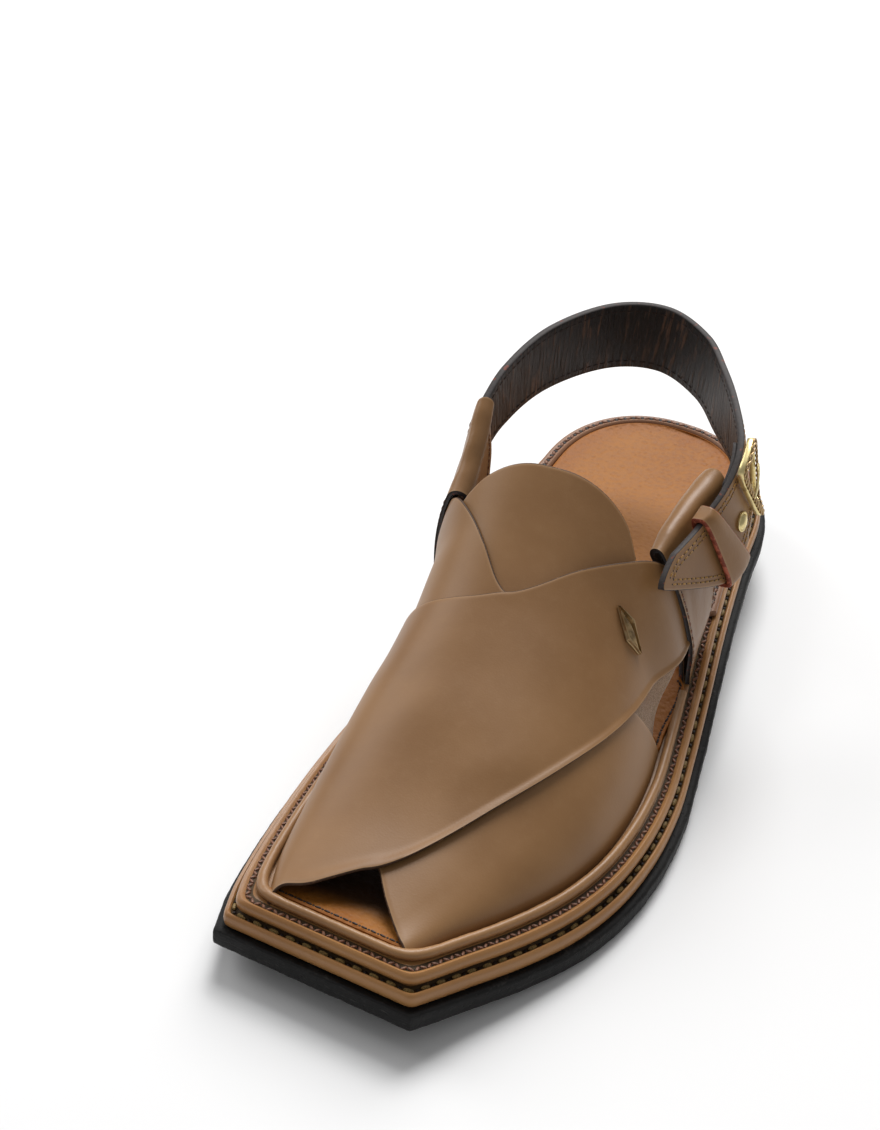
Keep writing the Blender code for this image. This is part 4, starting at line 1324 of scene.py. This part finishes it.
    def panel(self, name: str, table: Rows, low: Array | float, replaces: Sequence[str] = (),
              lift: float = 0.0, lip: float = 0.0) -> None:
        """One panel as a leather wall on the last.

        Args:
            name: the piece's name.
            table: its edges on the last.
            low: height of its flesh side over the last.
            replaces: nodes that it stands for.
            lift: how much its lateral foot is raised towards the bead.
            lip: how much its front edge stands away from what lies under it.
        """
        around, along = self.surface(table)
        low = low + self.relief(around, along) + lift * (1 - ease(around, 0.08, 0.30))
        front = 1 - ease(np.linspace(0, 1, around.shape[1])[None, :], 0.0, 0.06)
        low = low + lip * front * ease(np.linspace(0, 1, around.shape[0])[:, None], 0.08, 0.3)
        points, normals = FORM.skin(around, along)
        points = points + self.drawn(around, along, table)
        body = wall(Body(), points, normals, low, low + self.leather)
        paint = self.finishes
        body.make(name, [paint.vamp, paint.raw, paint.inside], "tan_leather", replaces)

    def drawn(self, around: Array, along: Array, table: Rows) -> Array:
        """The tip of a panel drawn round its toe corner, on a bell over the distance from the tip.

        Args:
            around: places round the last.
            along: places along it.
            table: the panel's edges, whose first row starts at the tip.

        Returns:
            Shifts of the points.
        """
        tip = table[0]
        shift = self.medial_tip if tip[1] > 0.5 else self.lateral_tip
        away = ((around - tip[1]) / self.tip_reach[0]) ** 2 + ((along - tip[2]) / self.tip_reach[1]) ** 2
        return np.exp(-away)[..., None] * np.array(shift)

    def web(self, name: str, table: Rows) -> None:
        """A suede web that shows a few millimetres past the panels' edges at a notch.

        Args:
            name: the piece's name.
            table: its edges on the last.
        """
        around, along = self.surface(table, 41, 21)
        points, normals = FORM.skin(around, along)
        body = wall(Body(), points, normals, -0.0010, -0.0002, 0.0002)
        body.make(name, [self.finishes.suede] * len(Zone), "tan_leather")

    def lozenge(self) -> None:
        """A plain faceted lozenge stud: a raised ridge over a rim."""
        long, wide, high = self.stud
        share = np.linspace(-1, 1, 41)
        around = self.stud_top - (share + 1) / 2 * long * self.stud_turn
        half = wide / 2 / FORM.length * (1 - 0.92 * np.abs(share))
        side = np.linspace(-1, 1, 25)
        along = self.stud_along - self.stud_slant * (self.stud_top - around)[:, None] + half[:, None] * side
        grid = np.repeat(around[:, None], 25, axis=1)
        points, normals = FORM.skin(grid, along)
        ridge = np.abs(side)[None, :]
        rim = ease(ridge, 0.62, 0.72) - ease(ridge, 0.90, 1.0)
        crest = (1 - ease(ridge, 0.0, 0.55)) * (1 - np.abs(share)[:, None] ** 2)
        seat = self.upper_offset + self.leather
        top = seat + high * (0.35 + 0.55 * rim + 0.65 * crest)
        body = wall(Body(), points, normals, seat - 0.0002, top, 0.0002)
        body.make("vamp_lozenge", [self.finishes.antique], "antique_gold", ["vamp_stud"])

    def build(self) -> None:
        """Makes the panels, the tongue, the webs and the stud."""
        self.panel("lower_panel_leather", self.lower, self.lower_offset, lift=self.base_lift)
        self.panel("upper_panel_leather", self.upper, self.upper_offset, ["upper"], lip=0.0008)
        self.panel("tongue_leather", self.tongue, self.lower_offset - 0.0014)
        self.web("lateral_suede_web", self.lateral_web)
        self.web("medial_suede_web", self.medial_web)
        self.lozenge()


@dataclass
class Quarter:
    """A leather sleeve folded over its top edge, open at both ends."""

    finishes: Finishes
    name: str
    node: str
    table: Rows
    offset: float
    roll: tuple[float, float] = (0.0010, 0.0024)
    leather: float = 0.0015
    gap_half: float = 0.0012
    sink: float = 0.0009
    tail: float = 0.0
    swell: float = 0.0004
    sewing: Stitching = Stitching(0.0027, 0.0020, 0.0007, 0.0007, hole=0.0007)

    def middle(self, column: Array, height: Array) -> Array:
        """A point midway between the two layers: straight from foot to top on the last, flared outwards.

        Args:
            column: 0 at the front edge to 1 at the rear edge.
            height: 0 at the foot to 1 at the top.

        Returns:
            Points with one more axis than the arguments.
        """
        column, height = np.broadcast_arrays(np.asarray(column, float), np.asarray(height, float))
        shape = column.shape
        column, height = column.ravel(), height.ravel()
        foot_around, foot_along, top_around, top_along, flare, lift = smooth_rows(self.table, column).T
        around = foot_around + (top_around - foot_around) * height
        along = foot_along + (top_along - foot_along) * height
        out = np.where(foot_around < 0.5, 1.0, -1.0)
        moved = FORM.last(around, along)
        moved[:, 0] += out * flare * FORM.instep * np.maximum(height, 0) ** 0.8
        moved[:, 2] += lift * FORM.instep * height
        return moved.reshape(*shape, 3)

    def frame(self, column: Array, height: Array) -> tuple[Array, Array, Array]:
        """Middle point, outward normal and upward direction from small differences.

        Args:
            column: 0 at the front edge to 1 at the rear edge.
            height: 0 at the foot to 1 at the top.

        Returns:
            Points, normals and directions.
        """
        small = 2e-3
        point = self.middle(column, height)
        up = unit(self.middle(column, height + small) - self.middle(column, np.maximum(height - small, 0)))
        before, behind = np.clip(column - small, 0, 1), np.clip(column + small, 0, 1)
        out = unit(np.cross(self.middle(behind, height) - self.middle(before, height), up))
        lateral = 1 if self.table[0][1] < 0.5 else -1
        return point, out * np.sign(out[..., :1]) * lateral, up

    def section(self, reach: float, columns: int, levels: int, fold: int) -> Array:
        """The sleeve's section carried from its front to its rear edge.

        The outer layer stays at reach outside the middle; the inner one and the fold over the top keep the
        same distance plus a roll that grows to the top, so the fold is round and open at its ends.

        Args:
            reach: distance of this face from the middle.
            columns: stations from front to rear.
            levels: points up each layer.
            fold: points over the top.

        Returns:
            (columns, points, 3).
        """
        column = np.linspace(0, 1, columns)[:, None]
        height = np.linspace(0, 1, levels)[None, :]
        point, out, up = self.frame(column, height)
        spread = (0.3 + 0.7 * ease(height, 0.0, 0.28)) + 0 * column
        roll = (self.roll[0] + (self.roll[1] - self.roll[0]) * column) * ease(height, 0.45, 1.0)
        centre = (self.offset + self.sink) * spread
        wide = self.gap_half * spread + (reach - self.gap_half)
        outer = point + out * (centre + wide)[..., None]
        inner = point + out * (centre - wide - 2 * roll)[..., None]
        inner[..., 1] += self.tail * column**2 * ease(1 - height, 0.0, 0.5)
        turn = np.linspace(0, math.pi, fold + 2)[1:-1][None, :, None]
        hub = point[:, -1:] + out[:, -1:] * (centre - roll)[:, -1:, None]
        radius = (wide + roll)[:, -1:, None]
        over = hub + (out[:, -1:] * np.cos(turn) + up[:, -1:] * np.sin(turn)) * radius
        return np.concatenate([outer, over, inner[:, ::-1]], axis=1)

    def creased(self, grid: Array, levels: int) -> Array:
        """Soft hollows across the sleeve's top, two crossing sine waves under a bell.

        Args:
            grid: the sleeve's section grid.
            levels: points up each layer.

        Returns:
            Heights in metres.
        """
        run = np.linspace(0, 1, grid.shape[0])[:, None]
        place = np.linspace(0, 1, grid.shape[1])[None, :]
        top = levels / grid.shape[1]
        wave = 0.00017 * np.sin(run * 9 + place * 14) + 0.00010 * np.sin(run * 21 - place * 9 + 1)
        return wave * np.exp(-(((place - top) / 0.22) ** 2))

    def build(self) -> None:
        """Makes the sleeve and its stitched front edge."""
        columns, levels, fold = 61, 45, 17
        outside = self.section(self.gap_half + self.leather, columns, levels, fold)
        inside = self.section(self.gap_half, columns, levels, fold)
        away = unit(outside - inside)
        outside = outside + away * self.creased(outside, levels)[..., None]
        outside, inside = FORM.above(outside), FORM.above(inside)
        down, over, _ = distances(outside)
        end = np.minimum(down, down[-1:] - down)
        marks = {"edge": end, "run": down, "across": over}
        body = Body().grid(outside, Zone.FACE, marks=marks).grid(inside, Zone.BACK, marks=marks)
        for one, other in ((outside[0], inside[0]), (outside[-1], inside[-1])):
            ahead = unit((outside[0] - outside[2]) if one is outside[0] else (outside[-1] - outside[-3]))
            body.grid(self.lip(one, other, ahead), Zone.EDGE)
        for side in (0, -1):
            body.grid(self.lip(outside[:, side], inside[:, side], None), Zone.EDGE)
        paint = self.finishes
        body.make(self.name, [paint.sleeve, paint.dark_edge, paint.flesh], "tan_leather", [self.node])
        self.stitch(outside, levels)

    def lip(self, one: Array, other: Array, ahead: Array | None) -> Array:
        """A cut edge between two borders, swelling ahead where a direction is given."""
        turn = np.linspace(0, math.pi, 7)[:, None, None]
        band = (one + other) / 2 + (one - other) / 2 * np.cos(turn)
        return band if ahead is None else band + ahead * self.swell * np.sin(turn)

    def row_up(self, body: Body, line: Array, beside: Array, way: int) -> None:
        """Adds a row up a layer, its normal from the cross product of the row and the way to its neighbour.

        Args:
            body: what the row is added to.
            line: the row's points.
            beside: the next line of points.
            way: 1 for a normal away from the foot, -1 for one towards it.
        """
        normal = unit(np.cross(np.gradient(line, axis=0), beside - line))
        away = (normal * (line - FORM.last(0.5, 0.5))).sum(axis=-1, keepdims=True)
        self.sewing.sew(body, line, normal * way * np.sign(away))

    def stitch(self, outside: Array, levels: int) -> None:
        """A row up the outer layer near its front edge, one near its rear edge, and one inside.

        Args:
            outside: the sleeve's outer grid.
            levels: points up each layer.
        """
        body = Body()
        for column, beside, top in ((3, 4, 0.92), (-4, -5, 0.90)):
            kept = slice(4, int(levels * top))
            self.row_up(body, outside[column, kept], outside[beside, kept], 1)
        kept = slice(4, int(levels * 0.8))
        self.row_up(body, outside[-4, ::-1][kept], outside[-5, ::-1][kept], -1)
        body.make(self.name + "_stitches", [self.finishes.mauve, self.finishes.hole], "tan_leather")


LATERAL = (
    # column, foot around and along, top around and along, flare and lift as shares of instep
    (0.00, 0.00, 0.545, 0.215, 0.548, 0.000, 0.00), (0.30, 0.00, 0.556, 0.200, 0.580, 0.010, 0.00),
    (0.65, 0.00, 0.575, 0.165, 0.635, 0.040, 0.03), (1.00, 0.00, 0.600, 0.140, 0.680, 0.080, 0.07),
)
MEDIAL = (
    (0.00, 1.00, 0.530, 0.758, 0.530, 0.00, 0.00), (0.30, 1.00, 0.545, 0.758, 0.556, 0.00, 0.00),
    (0.65, 1.00, 0.568, 0.750, 0.590, 0.03, 0.02), (1.00, 1.00, 0.595, 0.745, 0.620, 0.06, 0.05),
)


@dataclass
class HeelStrap:
    """The strap round the heel with its tab, keeper, buckle, prong, rivet and stitching."""

    finishes: Finishes
    lateral: Quarter
    medial: Quarter
    start: float = 0.25
    width: float = 0.026
    thickness: float = 0.0026
    tab: float = 0.0014
    tab_span: tuple[float, float] = (7.75, 8.8)
    tab_margin: float = 0.0018
    tab_corner: float = 0.003
    station_length: float = 0.016
    gap: float = 0.0003
    wall: float = 0.0018
    sleeve_wall: float = 0.0015
    overlap_step: float = 0.0010
    seat_clearance: float = 0.0018
    bow: float = 0.10
    swell: float = 0.0004
    step: float = 0.02
    tip: float = 11.0
    point: float = 1.0
    tip_lift: float = 0.5
    buckle_at: float = 8.22
    buckle_length: float = 0.014
    buckle_bar: float = 0.0026
    buckle_thick: float = 0.0022
    keeper_at: float = 9.72
    keeper_length: float = 0.0095
    keeper_wall: float = 0.0019
    keeper_arch: float = 0.0009
    rope_turns: int = 15
    rope_wide: float = 0.00085
    rope_high: float = 0.00030
    rope_strand: float = 0.00036
    rope_seat: float = 0.0004
    prong_radius: float = 0.0011
    prong_rise: float = 0.0006
    rivet_size: tuple[float, float, float] = (0.0036, 0.0030, 0.0019)
    outer_sewing: Stitching = Stitching(0.0026, 0.0020, 0.0007, 0.0006, hole=0.0006)
    inner_sewing: Stitching = Stitching(0.0030, 0.0022, 0.0006, 0.0005)
    rivet_at: float = 7.1
    eyelet_at: float = 9.05
    eyelet_high: float = -0.004
    free: Rows = (
        # station, across of ball_width, along, height of instep over the footbed, lean in degrees
        (1, -0.335, 0.680, 0.845, 3), (2, -0.290, 0.760, 0.895, 2), (3, -0.180, 0.840, 0.895, 0),
        (4, -0.035, 0.870, 0.885, 0), (5, 0.110, 0.848, 0.855, 0), (6, 0.215, 0.800, 0.830, 2),
        (7, 0.304, 0.748, 0.835, 8), (8, 0.384, 0.692, 0.795, 12), (11, 0.360, 0.506, 0.660, 22),
    )
    # station, column and height on the lateral quarter, bulge as a share of width
    seats: Rows = ((9, 0.85, 0.88, 0.09), (10, 0.50, 0.75, 0.00))

    @cached_property
    def stations(self) -> Array:
        """Rows of station, place and lean, from the medial quarter's rear edge to the tip."""
        point, out, up = self.medial.frame(np.array([1.0]), np.array([0.74]))
        x, y, z = point[0] + out[0] * self.wall / 2
        rows = [(0, x, y + 2 * self.gap, z, math.degrees(math.atan2(up[0, 0], up[0, 2])))]
        for station, side, along, height, lean in self.free:
            y = (along - 0.5) * FORM.length
            z = float(FORM.rise(y)) + FORM.footbed + height * FORM.instep
            rows.append((station, side * FORM.ball_width, y, z, -lean if side > 0 else lean))
        under = self.seat_clearance + self.tab + 2 * self.gap + self.thickness / 2
        sleeve = self.overlap_step + self.wall + self.gap + self.sleeve_wall
        for station, column, height, bulge in self.seats:
            point, out, up = self.lateral.frame(np.array([column]), np.array([height]))
            place = point[0] + out[0] * (sleeve + under + bulge * self.width)
            rows.append((station, *place, math.degrees(math.atan2(up[0, 0], up[0, 2]))))
        return np.array(sorted(rows))

    def frame(self, station: Array) -> tuple[Array, Array, Array, Array]:
        """The strap's own frame: forward from small differences, and out square to it and to the lean.

        Args:
            station: places along the strap.

        Returns:
            Centre, and forward, up and outward directions.
        """
        station = np.asarray(station, float)
        shape = station.shape
        flat = station.ravel()
        read = smooth_rows(self.stations, flat)
        small = 0.02
        ahead = smooth_rows(self.stations, flat + small) - smooth_rows(self.stations, flat - small)
        forward = unit(ahead[:, :3])
        tilt = np.radians(read[:, 3])
        lean = np.stack([np.sin(tilt), 0 * tilt, np.cos(tilt)], axis=1)
        out = unit(np.cross(lean, forward))
        up = unit(np.cross(forward, out))
        return tuple(v.reshape(*shape, 3) for v in (read[:, :3], forward, up, out))

    def on(self, station: Array, ahead: Array, high: Array, outward: Array) -> Array:
        """Points in the strap's own frame, ahead of a station along its bent line.

        Args:
            station: places along the strap.
            ahead: metres ahead of them.
            high: metres above its middle.
            outward: metres outside its middle.

        Returns:
            Points with one more axis than the arguments.
        """
        given = (np.asarray(value, float) for value in (station, ahead, high, outward))
        station, ahead, high, outward = np.broadcast_arrays(*given)
        span = np.linalg.norm(self.frame(station + 0.25)[0] - self.frame(station - 0.25)[0], axis=-1)
        centre, _, up, out = self.frame(station + ahead * 0.5 / span)
        return centre + up * high[..., None] + out * outward[..., None]

    def places(self, start: float, end: float) -> Array:
        """Even stations between two."""
        return np.linspace(start, end, max(3, round((end - start) / self.step) + 1))

    def edges(self, station: Array) -> tuple[Array, Array]:
        """The strap's taper: its lower edge draws in early and its upper edge late, to a raised tip.

        Args:
            station: places along the strap.

        Returns:
            Height of its middle and its half width.
        """
        low = np.clip((self.tip - station) / self.point, 0, 1) ** 0.95
        high = np.clip((self.tip - station) / (0.35 * self.point), 0, 1) ** 0.6
        lift = self.width / 2 * self.tip_lift
        upper = lift + (self.width / 2 - lift) * high
        lower = lift - (self.width / 2 + lift) * low
        return (upper + lower) / 2, np.maximum((upper - lower) / 2, 1e-4)

    def band(self) -> None:
        """The strap: tan leather outside, lining inside, and an edge that swells on half an ellipse."""
        station = self.places(self.start, self.tip - 0.004)
        run = run_along(self.frame(station)[0])
        middle, half = (values[:, None] for values in self.edges(station))
        thick = self.thickness / 2
        body = Body()
        share = np.linspace(-1, 1, 27)
        bowed = 1 - self.bow * np.abs(share) ** 6
        edge = half * (1 - np.abs(share))
        soft = 0.00016 * ripple(run, (95, 0.3), (41, 1.2))[:, None] * (1 - share**2)
        for side, zone, rough in ((1, Zone.FACE, 0.0), (-1, Zone.BACK, soft)):
            grid = self.on(station[:, None], 0.0, middle + half * share, side * thick * bowed + rough)
            body.grid(grid, zone, marks={"edge": edge, "run": run[:, None], "across": half * share})
        turn = np.linspace(0, math.pi, 7)
        for side in (-1, 1):
            high = middle + side * (half + self.swell * np.sin(turn) * np.minimum(1, half / 0.002))
            grid = self.on(station[:, None], 0.0, high, thick * 0.9 * np.cos(turn))
            body.grid(grid, Zone.EDGE, marks={"run": run[:, None], "across": high})
        for index in (0, -1):
            high = middle[index] + half[index] * share
            one, other = (self.on(station[index], 0.0, high, side * thick * bowed) for side in (1, -1))
            body.grid(np.stack([one, (one + other) / 2, other]), Zone.EDGE)
        paint = self.finishes
        body.make("heel_strap_band", [paint.strap, paint.dark_edge, paint.lining], "tan_leather",
                  ["heel_strap"])

    def stitches(self) -> None:
        """Double rows along both edges outside, meeting round the point, and one row each inside."""
        station = self.places(0.5, self.tip - self.point)
        outside, inside = Body(), Body()
        for side in (-1, 1):
            for inset in (0.0022, 0.0040):
                path = self.on(station, 0.0, side * (self.width / 2 - inset), self.thickness / 2)
                self.outer_sewing.sew(outside, path, self.frame(station)[3])
                end = self.places(self.tip - self.point, self.tip - 0.10 - inset * 22)
                middle, half = self.edges(end)
                path = self.on(end, 0.0, middle + side * np.maximum(half - inset, 0), self.thickness / 2)
                self.outer_sewing.sew(outside, path, self.frame(end)[3])
            path = self.on(station, 0.0, side * (self.width / 2 - 0.0024), -self.thickness / 2)
            self.inner_sewing.sew(inside, path, -self.frame(station)[3])
        outside.make("strap_outer_stitches", [self.finishes.amber, self.finishes.hole], "tan_leather")
        inside.make("strap_lining_stitches", [self.finishes.black], "tan_leather")

    def holder(self) -> None:
        """The black tab under the strap that holds the buckle, its corners rounded by circles."""
        station, corner = self.places(*self.tab_span), self.tab_corner
        half = self.width / 2 - self.tab_margin
        low = -self.thickness / 2 - self.gap / 2 - self.tab
        near = np.minimum(station - station[0], station[-1] - station)[:, None]
        near = near * self.station_length
        cut = corner * (1 - np.sqrt(np.clip(1 - (1 - np.clip(near / corner, 0, 1)) ** 2, 0, 1)))
        grid = self.on(station[:, None], 0.0, (half - cut) * np.linspace(-1, 1, 21), low + self.tab / 2)
        normal = np.broadcast_to(self.frame(station)[3][:, None], grid.shape)
        body = wall(Body(), grid, normal, -self.tab / 2, self.tab / 2, self.swell, floor=False)
        paint = self.finishes
        body.make("buckle_tab_leather", [paint.lining, paint.dark_edge, paint.lining], "black_leather",
                  ["buckle_tab"])

    def keeper(self) -> None:
        """The keeper: a squared circle carried along the strap, its face arched and its ends swelling."""
        wide, deep = (squared(wave(full_turn(96)), 0.5) for wave in (np.cos, np.sin))
        half, clear = self.keeper_length / 2, 3 * self.gap
        ahead = np.linspace(-half, half, 15)
        arch = self.keeper_arch * np.cos(ahead / self.keeper_length * math.pi)[:, None] * (deep > 0)

        def ring(grow: float) -> tuple[Array, Array]:
            """Height and depth of the loop's section at this distance out from its inside."""
            return wide * (self.width / 2 + clear + grow), deep * (self.thickness / 2 + clear + grow)

        body = Body()
        for grow, zone, raised in ((self.keeper_wall, Zone.FACE, arch), (0.0, Zone.BACK, 0.0)):
            high, out = ring(grow)
            grid = self.on(self.keeper_at, ahead[:, None], high, out + raised)
            body.grid(grid, zone, columns_close=True, marks={"edge": (half - np.abs(ahead))[:, None]})
        for side in (-1, 1):
            rows = []
            for angle in np.linspace(0, math.pi, 6):
                high, out = ring(self.keeper_wall / 2 * (1 + math.cos(angle)))
                rows.append(self.on(self.keeper_at, side * (half + 0.0005 * math.sin(angle)), high, out))
            body.grid(np.stack(rows), Zone.EDGE, columns_close=True)
        paint = self.finishes
        body.make("keeper_loop_leather", [paint.sleeve, paint.red_edge, paint.flesh], "tan_leather",
                  ["keeper_loop"])

    def strand(self, path: Array, out: Array) -> Array:
        """One round strand of the rope.

        Args:
            path: closed points.
            out: outward normals of the frame.

        Returns:
            (stations, 8, 3).
        """
        ahead = unit(np.roll(path, -1, axis=0) - np.roll(path, 1, axis=0))
        side = unit(np.cross(ahead, out))
        up = unit(np.cross(side, ahead))
        turn = full_turn(8)[None, :, None]
        return path[:, None] + (side[:, None] * np.cos(turn) + up[:, None] * np.sin(turn)) * self.rope_strand

    def buckle(self) -> None:
        """The frame: a flat bar round a squared circle, with a two-strand rope on its outer face."""
        seat, turn = self.thickness / 2 + 3 * self.gap, full_turn(192)
        ahead = (self.buckle_length / 2 - self.buckle_bar / 2) * squared(np.cos(turn), 0.35)
        high = (self.width / 2 + 2 * self.gap + self.buckle_bar / 2) * squared(np.sin(turn), 0.35)
        closed = np.column_stack([ahead, high])[[*range(192), 0]]
        along, tall = resampled(closed, 241)[:-1].T
        middle = self.on(self.buckle_at, along, tall, seat + self.buckle_thick / 2)
        outer = self.on(self.buckle_at, along, tall, seat + self.buckle_thick)
        out = unit(outer - middle)
        side = unit(np.cross(unit(np.roll(middle, -1, axis=0) - np.roll(middle, 1, axis=0)), out))
        ring = full_turn(16)
        broad = squared(np.cos(ring), 0.3)[:, None] * self.buckle_bar / 2
        deep = squared(np.sin(ring), 0.3)[:, None] * self.buckle_thick / 2
        bar = Body().grid(middle[:, None] + side[:, None] * broad + out[:, None] * deep, rows_close=True,
                          columns_close=True)
        bar.make("buckle_frame_bar", [self.finishes.gold], "antique_gold", ["buckle_frame"])
        rope = Body()
        phase = full_turn(240)[:, None] * self.rope_turns
        for start in (0.0, math.pi):
            path = (outer + out * self.rope_seat + side * np.sin(phase + start) * self.rope_wide
                    + out * np.cos(phase + start) * self.rope_high)
            rope.grid(self.strand(path, out), rows_close=True, columns_close=True)
        rope.make("buckle_rope_edge", [self.finishes.antique], "antique_gold")

    def prong(self) -> None:
        """The prong: an oval bar from the frame's rear to its front bar, tapering, closed at its ends."""
        low = self.thickness / 2 + 4 * self.gap + self.buckle_thick
        share = np.linspace(0, 1, 25)
        centre = self.on(self.buckle_at, (share - 0.5) * self.buckle_length, 0.0, low + self.prong_rise)
        _, _, up, out = self.frame(self.buckle_at + 0 * share)
        radius = self.prong_radius * (1 - 0.35 * share) * np.sqrt(np.clip(1 - (2 * share - 1) ** 12, 0, 1))
        turn = full_turn(12)[None, :, None]
        section = up[:, None] * np.cos(turn) + out[:, None] * 0.55 * np.sin(turn)
        body = Body().grid(centre[:, None] + section * radius[:, None, None], columns_close=True)
        body.make("buckle_prong_bar", [self.finishes.gold], "antique_gold", ["buckle_prong"])

    def rivet(self, name: str, at: float, high: float, replaces: Sequence[str]) -> None:
        """An oval domed rivet with a turned rim, on the strap's outside.

        Args:
            name: the piece's name.
            at: station of its middle.
            high: height of its middle on the strap.
            replaces: the frame's nodes that it stands for.
        """
        seat, turn = self.thickness / 2, full_turn(32)
        long, tall, dome = self.rivet_size
        profile = ((0.0, 0.0), (1.0, 0.0), (1.02, 0.25), (0.98, 0.45), (0.86, 0.52), (0.80, 0.45),
                   (0.72, 0.62), (0.5, 0.85), (0.25, 0.97), (0.0, 1.0))
        rows = [self.on(at, long * share * np.cos(turn), high + tall * share * np.sin(turn),
                        seat + dome * level) for share, level in profile]
        Body().grid(np.stack(rows), columns_close=True).make(
            name, [self.finishes.gold], "antique_gold", replaces)

    def build(self) -> None:
        """Makes the strap and everything on it."""
        self.band()
        self.stitches()
        self.holder()
        self.keeper()
        self.buckle()
        self.prong()
        self.rivet("strap_rivet_dome", self.rivet_at, 0.0, ["strap_rivet"])
        self.rivet("strap_eyelet", self.eyelet_at, self.eyelet_high, [])


@dataclass(frozen=True)
class Studio:
    """Pale floor, soft lights and the photograph's camera."""

    eye: tuple[float, float, float] = (0.2043, -0.6092, 0.5594)
    right: tuple[float, float, float] = (0.9019, 0.4269, 0.0652)
    up: tuple[float, float, float] = (-0.3079, 0.5298, 0.7903)
    focal_pixels: float = 2447.2
    image_height: float = 1130.0
    sensor: float = 36.0
    floor_size: float = 24.0
    sun: tuple[float, float] = (1.65, 0.45)
    sun_turn: tuple[float, float] = (-32.0, -14.0)
    sky: float = 0.3
    lamps: Rows = (
        # name, place, target, size, power, colour
        ("back_softbox", (-0.15, 1.25, 1.2), (0, 0, 0), 1.0, 17, (1.0, 0.99, 0.98)),
        ("left_softbox", (-1.2, 0.1, 0.9), (0, 0, 0.02), 0.8, 6, (1.0, 1.0, 1.0)),
    )

    def stand(self, data: bpy.types.ID, right: Array, back: Array, place: tuple) -> bpy.types.Object:
        """An object in the scene whose axes are right, what is square to both, and back.

        Args:
            data: the lamp or camera.
            right: its own X.
            back: its own Z, away from what it looks at.
            place: where it stands.

        Returns:
            The object.
        """
        turn = np.eye(4)
        turn[:3] = np.stack([right, np.cross(back, right), back, place], axis=1)
        made = bpy.data.objects.new(data.name, data)
        made.matrix_world = Matrix(turn.tolist())
        bpy.context.scene.collection.objects.link(made)
        return made

    def camera(self) -> None:
        """The camera that was solved from the photograph's two shoes."""
        data = bpy.data.cameras.new("photo_camera")
        data.sensor_width = self.sensor
        data.lens = self.focal_pixels * self.sensor / self.image_height
        right, up = unit(np.array(self.right)), unit(np.array(self.up))
        bpy.context.scene.camera = self.stand(data, right, np.cross(right, up), self.eye)

    def light(self, name: str, place: tuple, target: tuple, size: float, power: float,
              colour: tuple) -> None:
        """A square area light that faces a point.

        Args:
            name: its name.
            place: where it stands.
            target: the point that it faces.
            size: its side.
            power: watts.
            colour: its light.
        """
        data = bpy.data.lights.new(name, "AREA")
        data.size, data.energy, data.color = size, power, colour
        back = unit(np.array(place, float) - np.array(target, float))
        self.stand(data, unit(np.cross([0, 0, 1.0], back)), back, place)

    def floor(self) -> None:
        """The pale floor, which carries no piece."""
        half = self.floor_size / 2
        corners = [(-half, -half, 0), (half, -half, 0), (half, half, 0), (-half, half, 0)]
        mesh = bpy.data.meshes.new("pale_floor")
        mesh.from_pydata(corners, [], [(0, 1, 2, 3)])
        floor = bpy.data.objects.new("pale_floor", mesh)
        bpy.context.scene.collection.objects.link(floor)
        paint = Paint("pale_floor")
        colour = paint.mix(paint.noise(3, 2), (0.84, 0.84, 0.845), (0.87, 0.87, 0.87))
        mesh.materials.append(paint.finish(colour, 0.7, Specular_IOR_Level=0.2))

    def build(self) -> None:
        """Makes the floor, the sky light, the lamps and the camera."""
        self.floor()
        world = bpy.data.worlds.new("soft_sky")
        world.use_nodes = True
        background = world.node_tree.nodes["Background"]
        background.inputs["Color"].default_value = (1, 1, 1, 1)
        background.inputs["Strength"].default_value = self.sky
        bpy.context.scene.world = world
        bpy.context.scene.view_settings.view_transform = "Standard"
        for lamp in self.lamps:
            self.light(*lamp)
        sun = bpy.data.lights.new("wide_sun", "SUN")
        sun.energy, sun.angle = self.sun
        shining = bpy.data.objects.new("wide_sun", sun)
        shining.rotation_euler = (*(math.radians(turn) for turn in self.sun_turn), 0)
        bpy.context.scene.collection.objects.link(shining)
        self.camera()


def main() -> None:
    """Builds the shoe's parts in order and the studio round them."""
    logging.basicConfig(level=logging.INFO, format="%(message)s")
    finishes = Finishes()
    Studio().build()
    Sole(finishes).build()
    Vamp(finishes).build()
    lateral = Quarter(finishes, "lateral_sleeve", "lateral_quarter", LATERAL, 0.0010, (0.0003, 0.0026))
    medial = Quarter(finishes, "medial_sleeve", "medial_quarter", MEDIAL, 0.0, (0.0014, 0.0003),
                     tail=0.0115)
    lateral.build()
    medial.build()
    HeelStrap(finishes, lateral, medial).build()


if __name__ == "__main__":
    main()
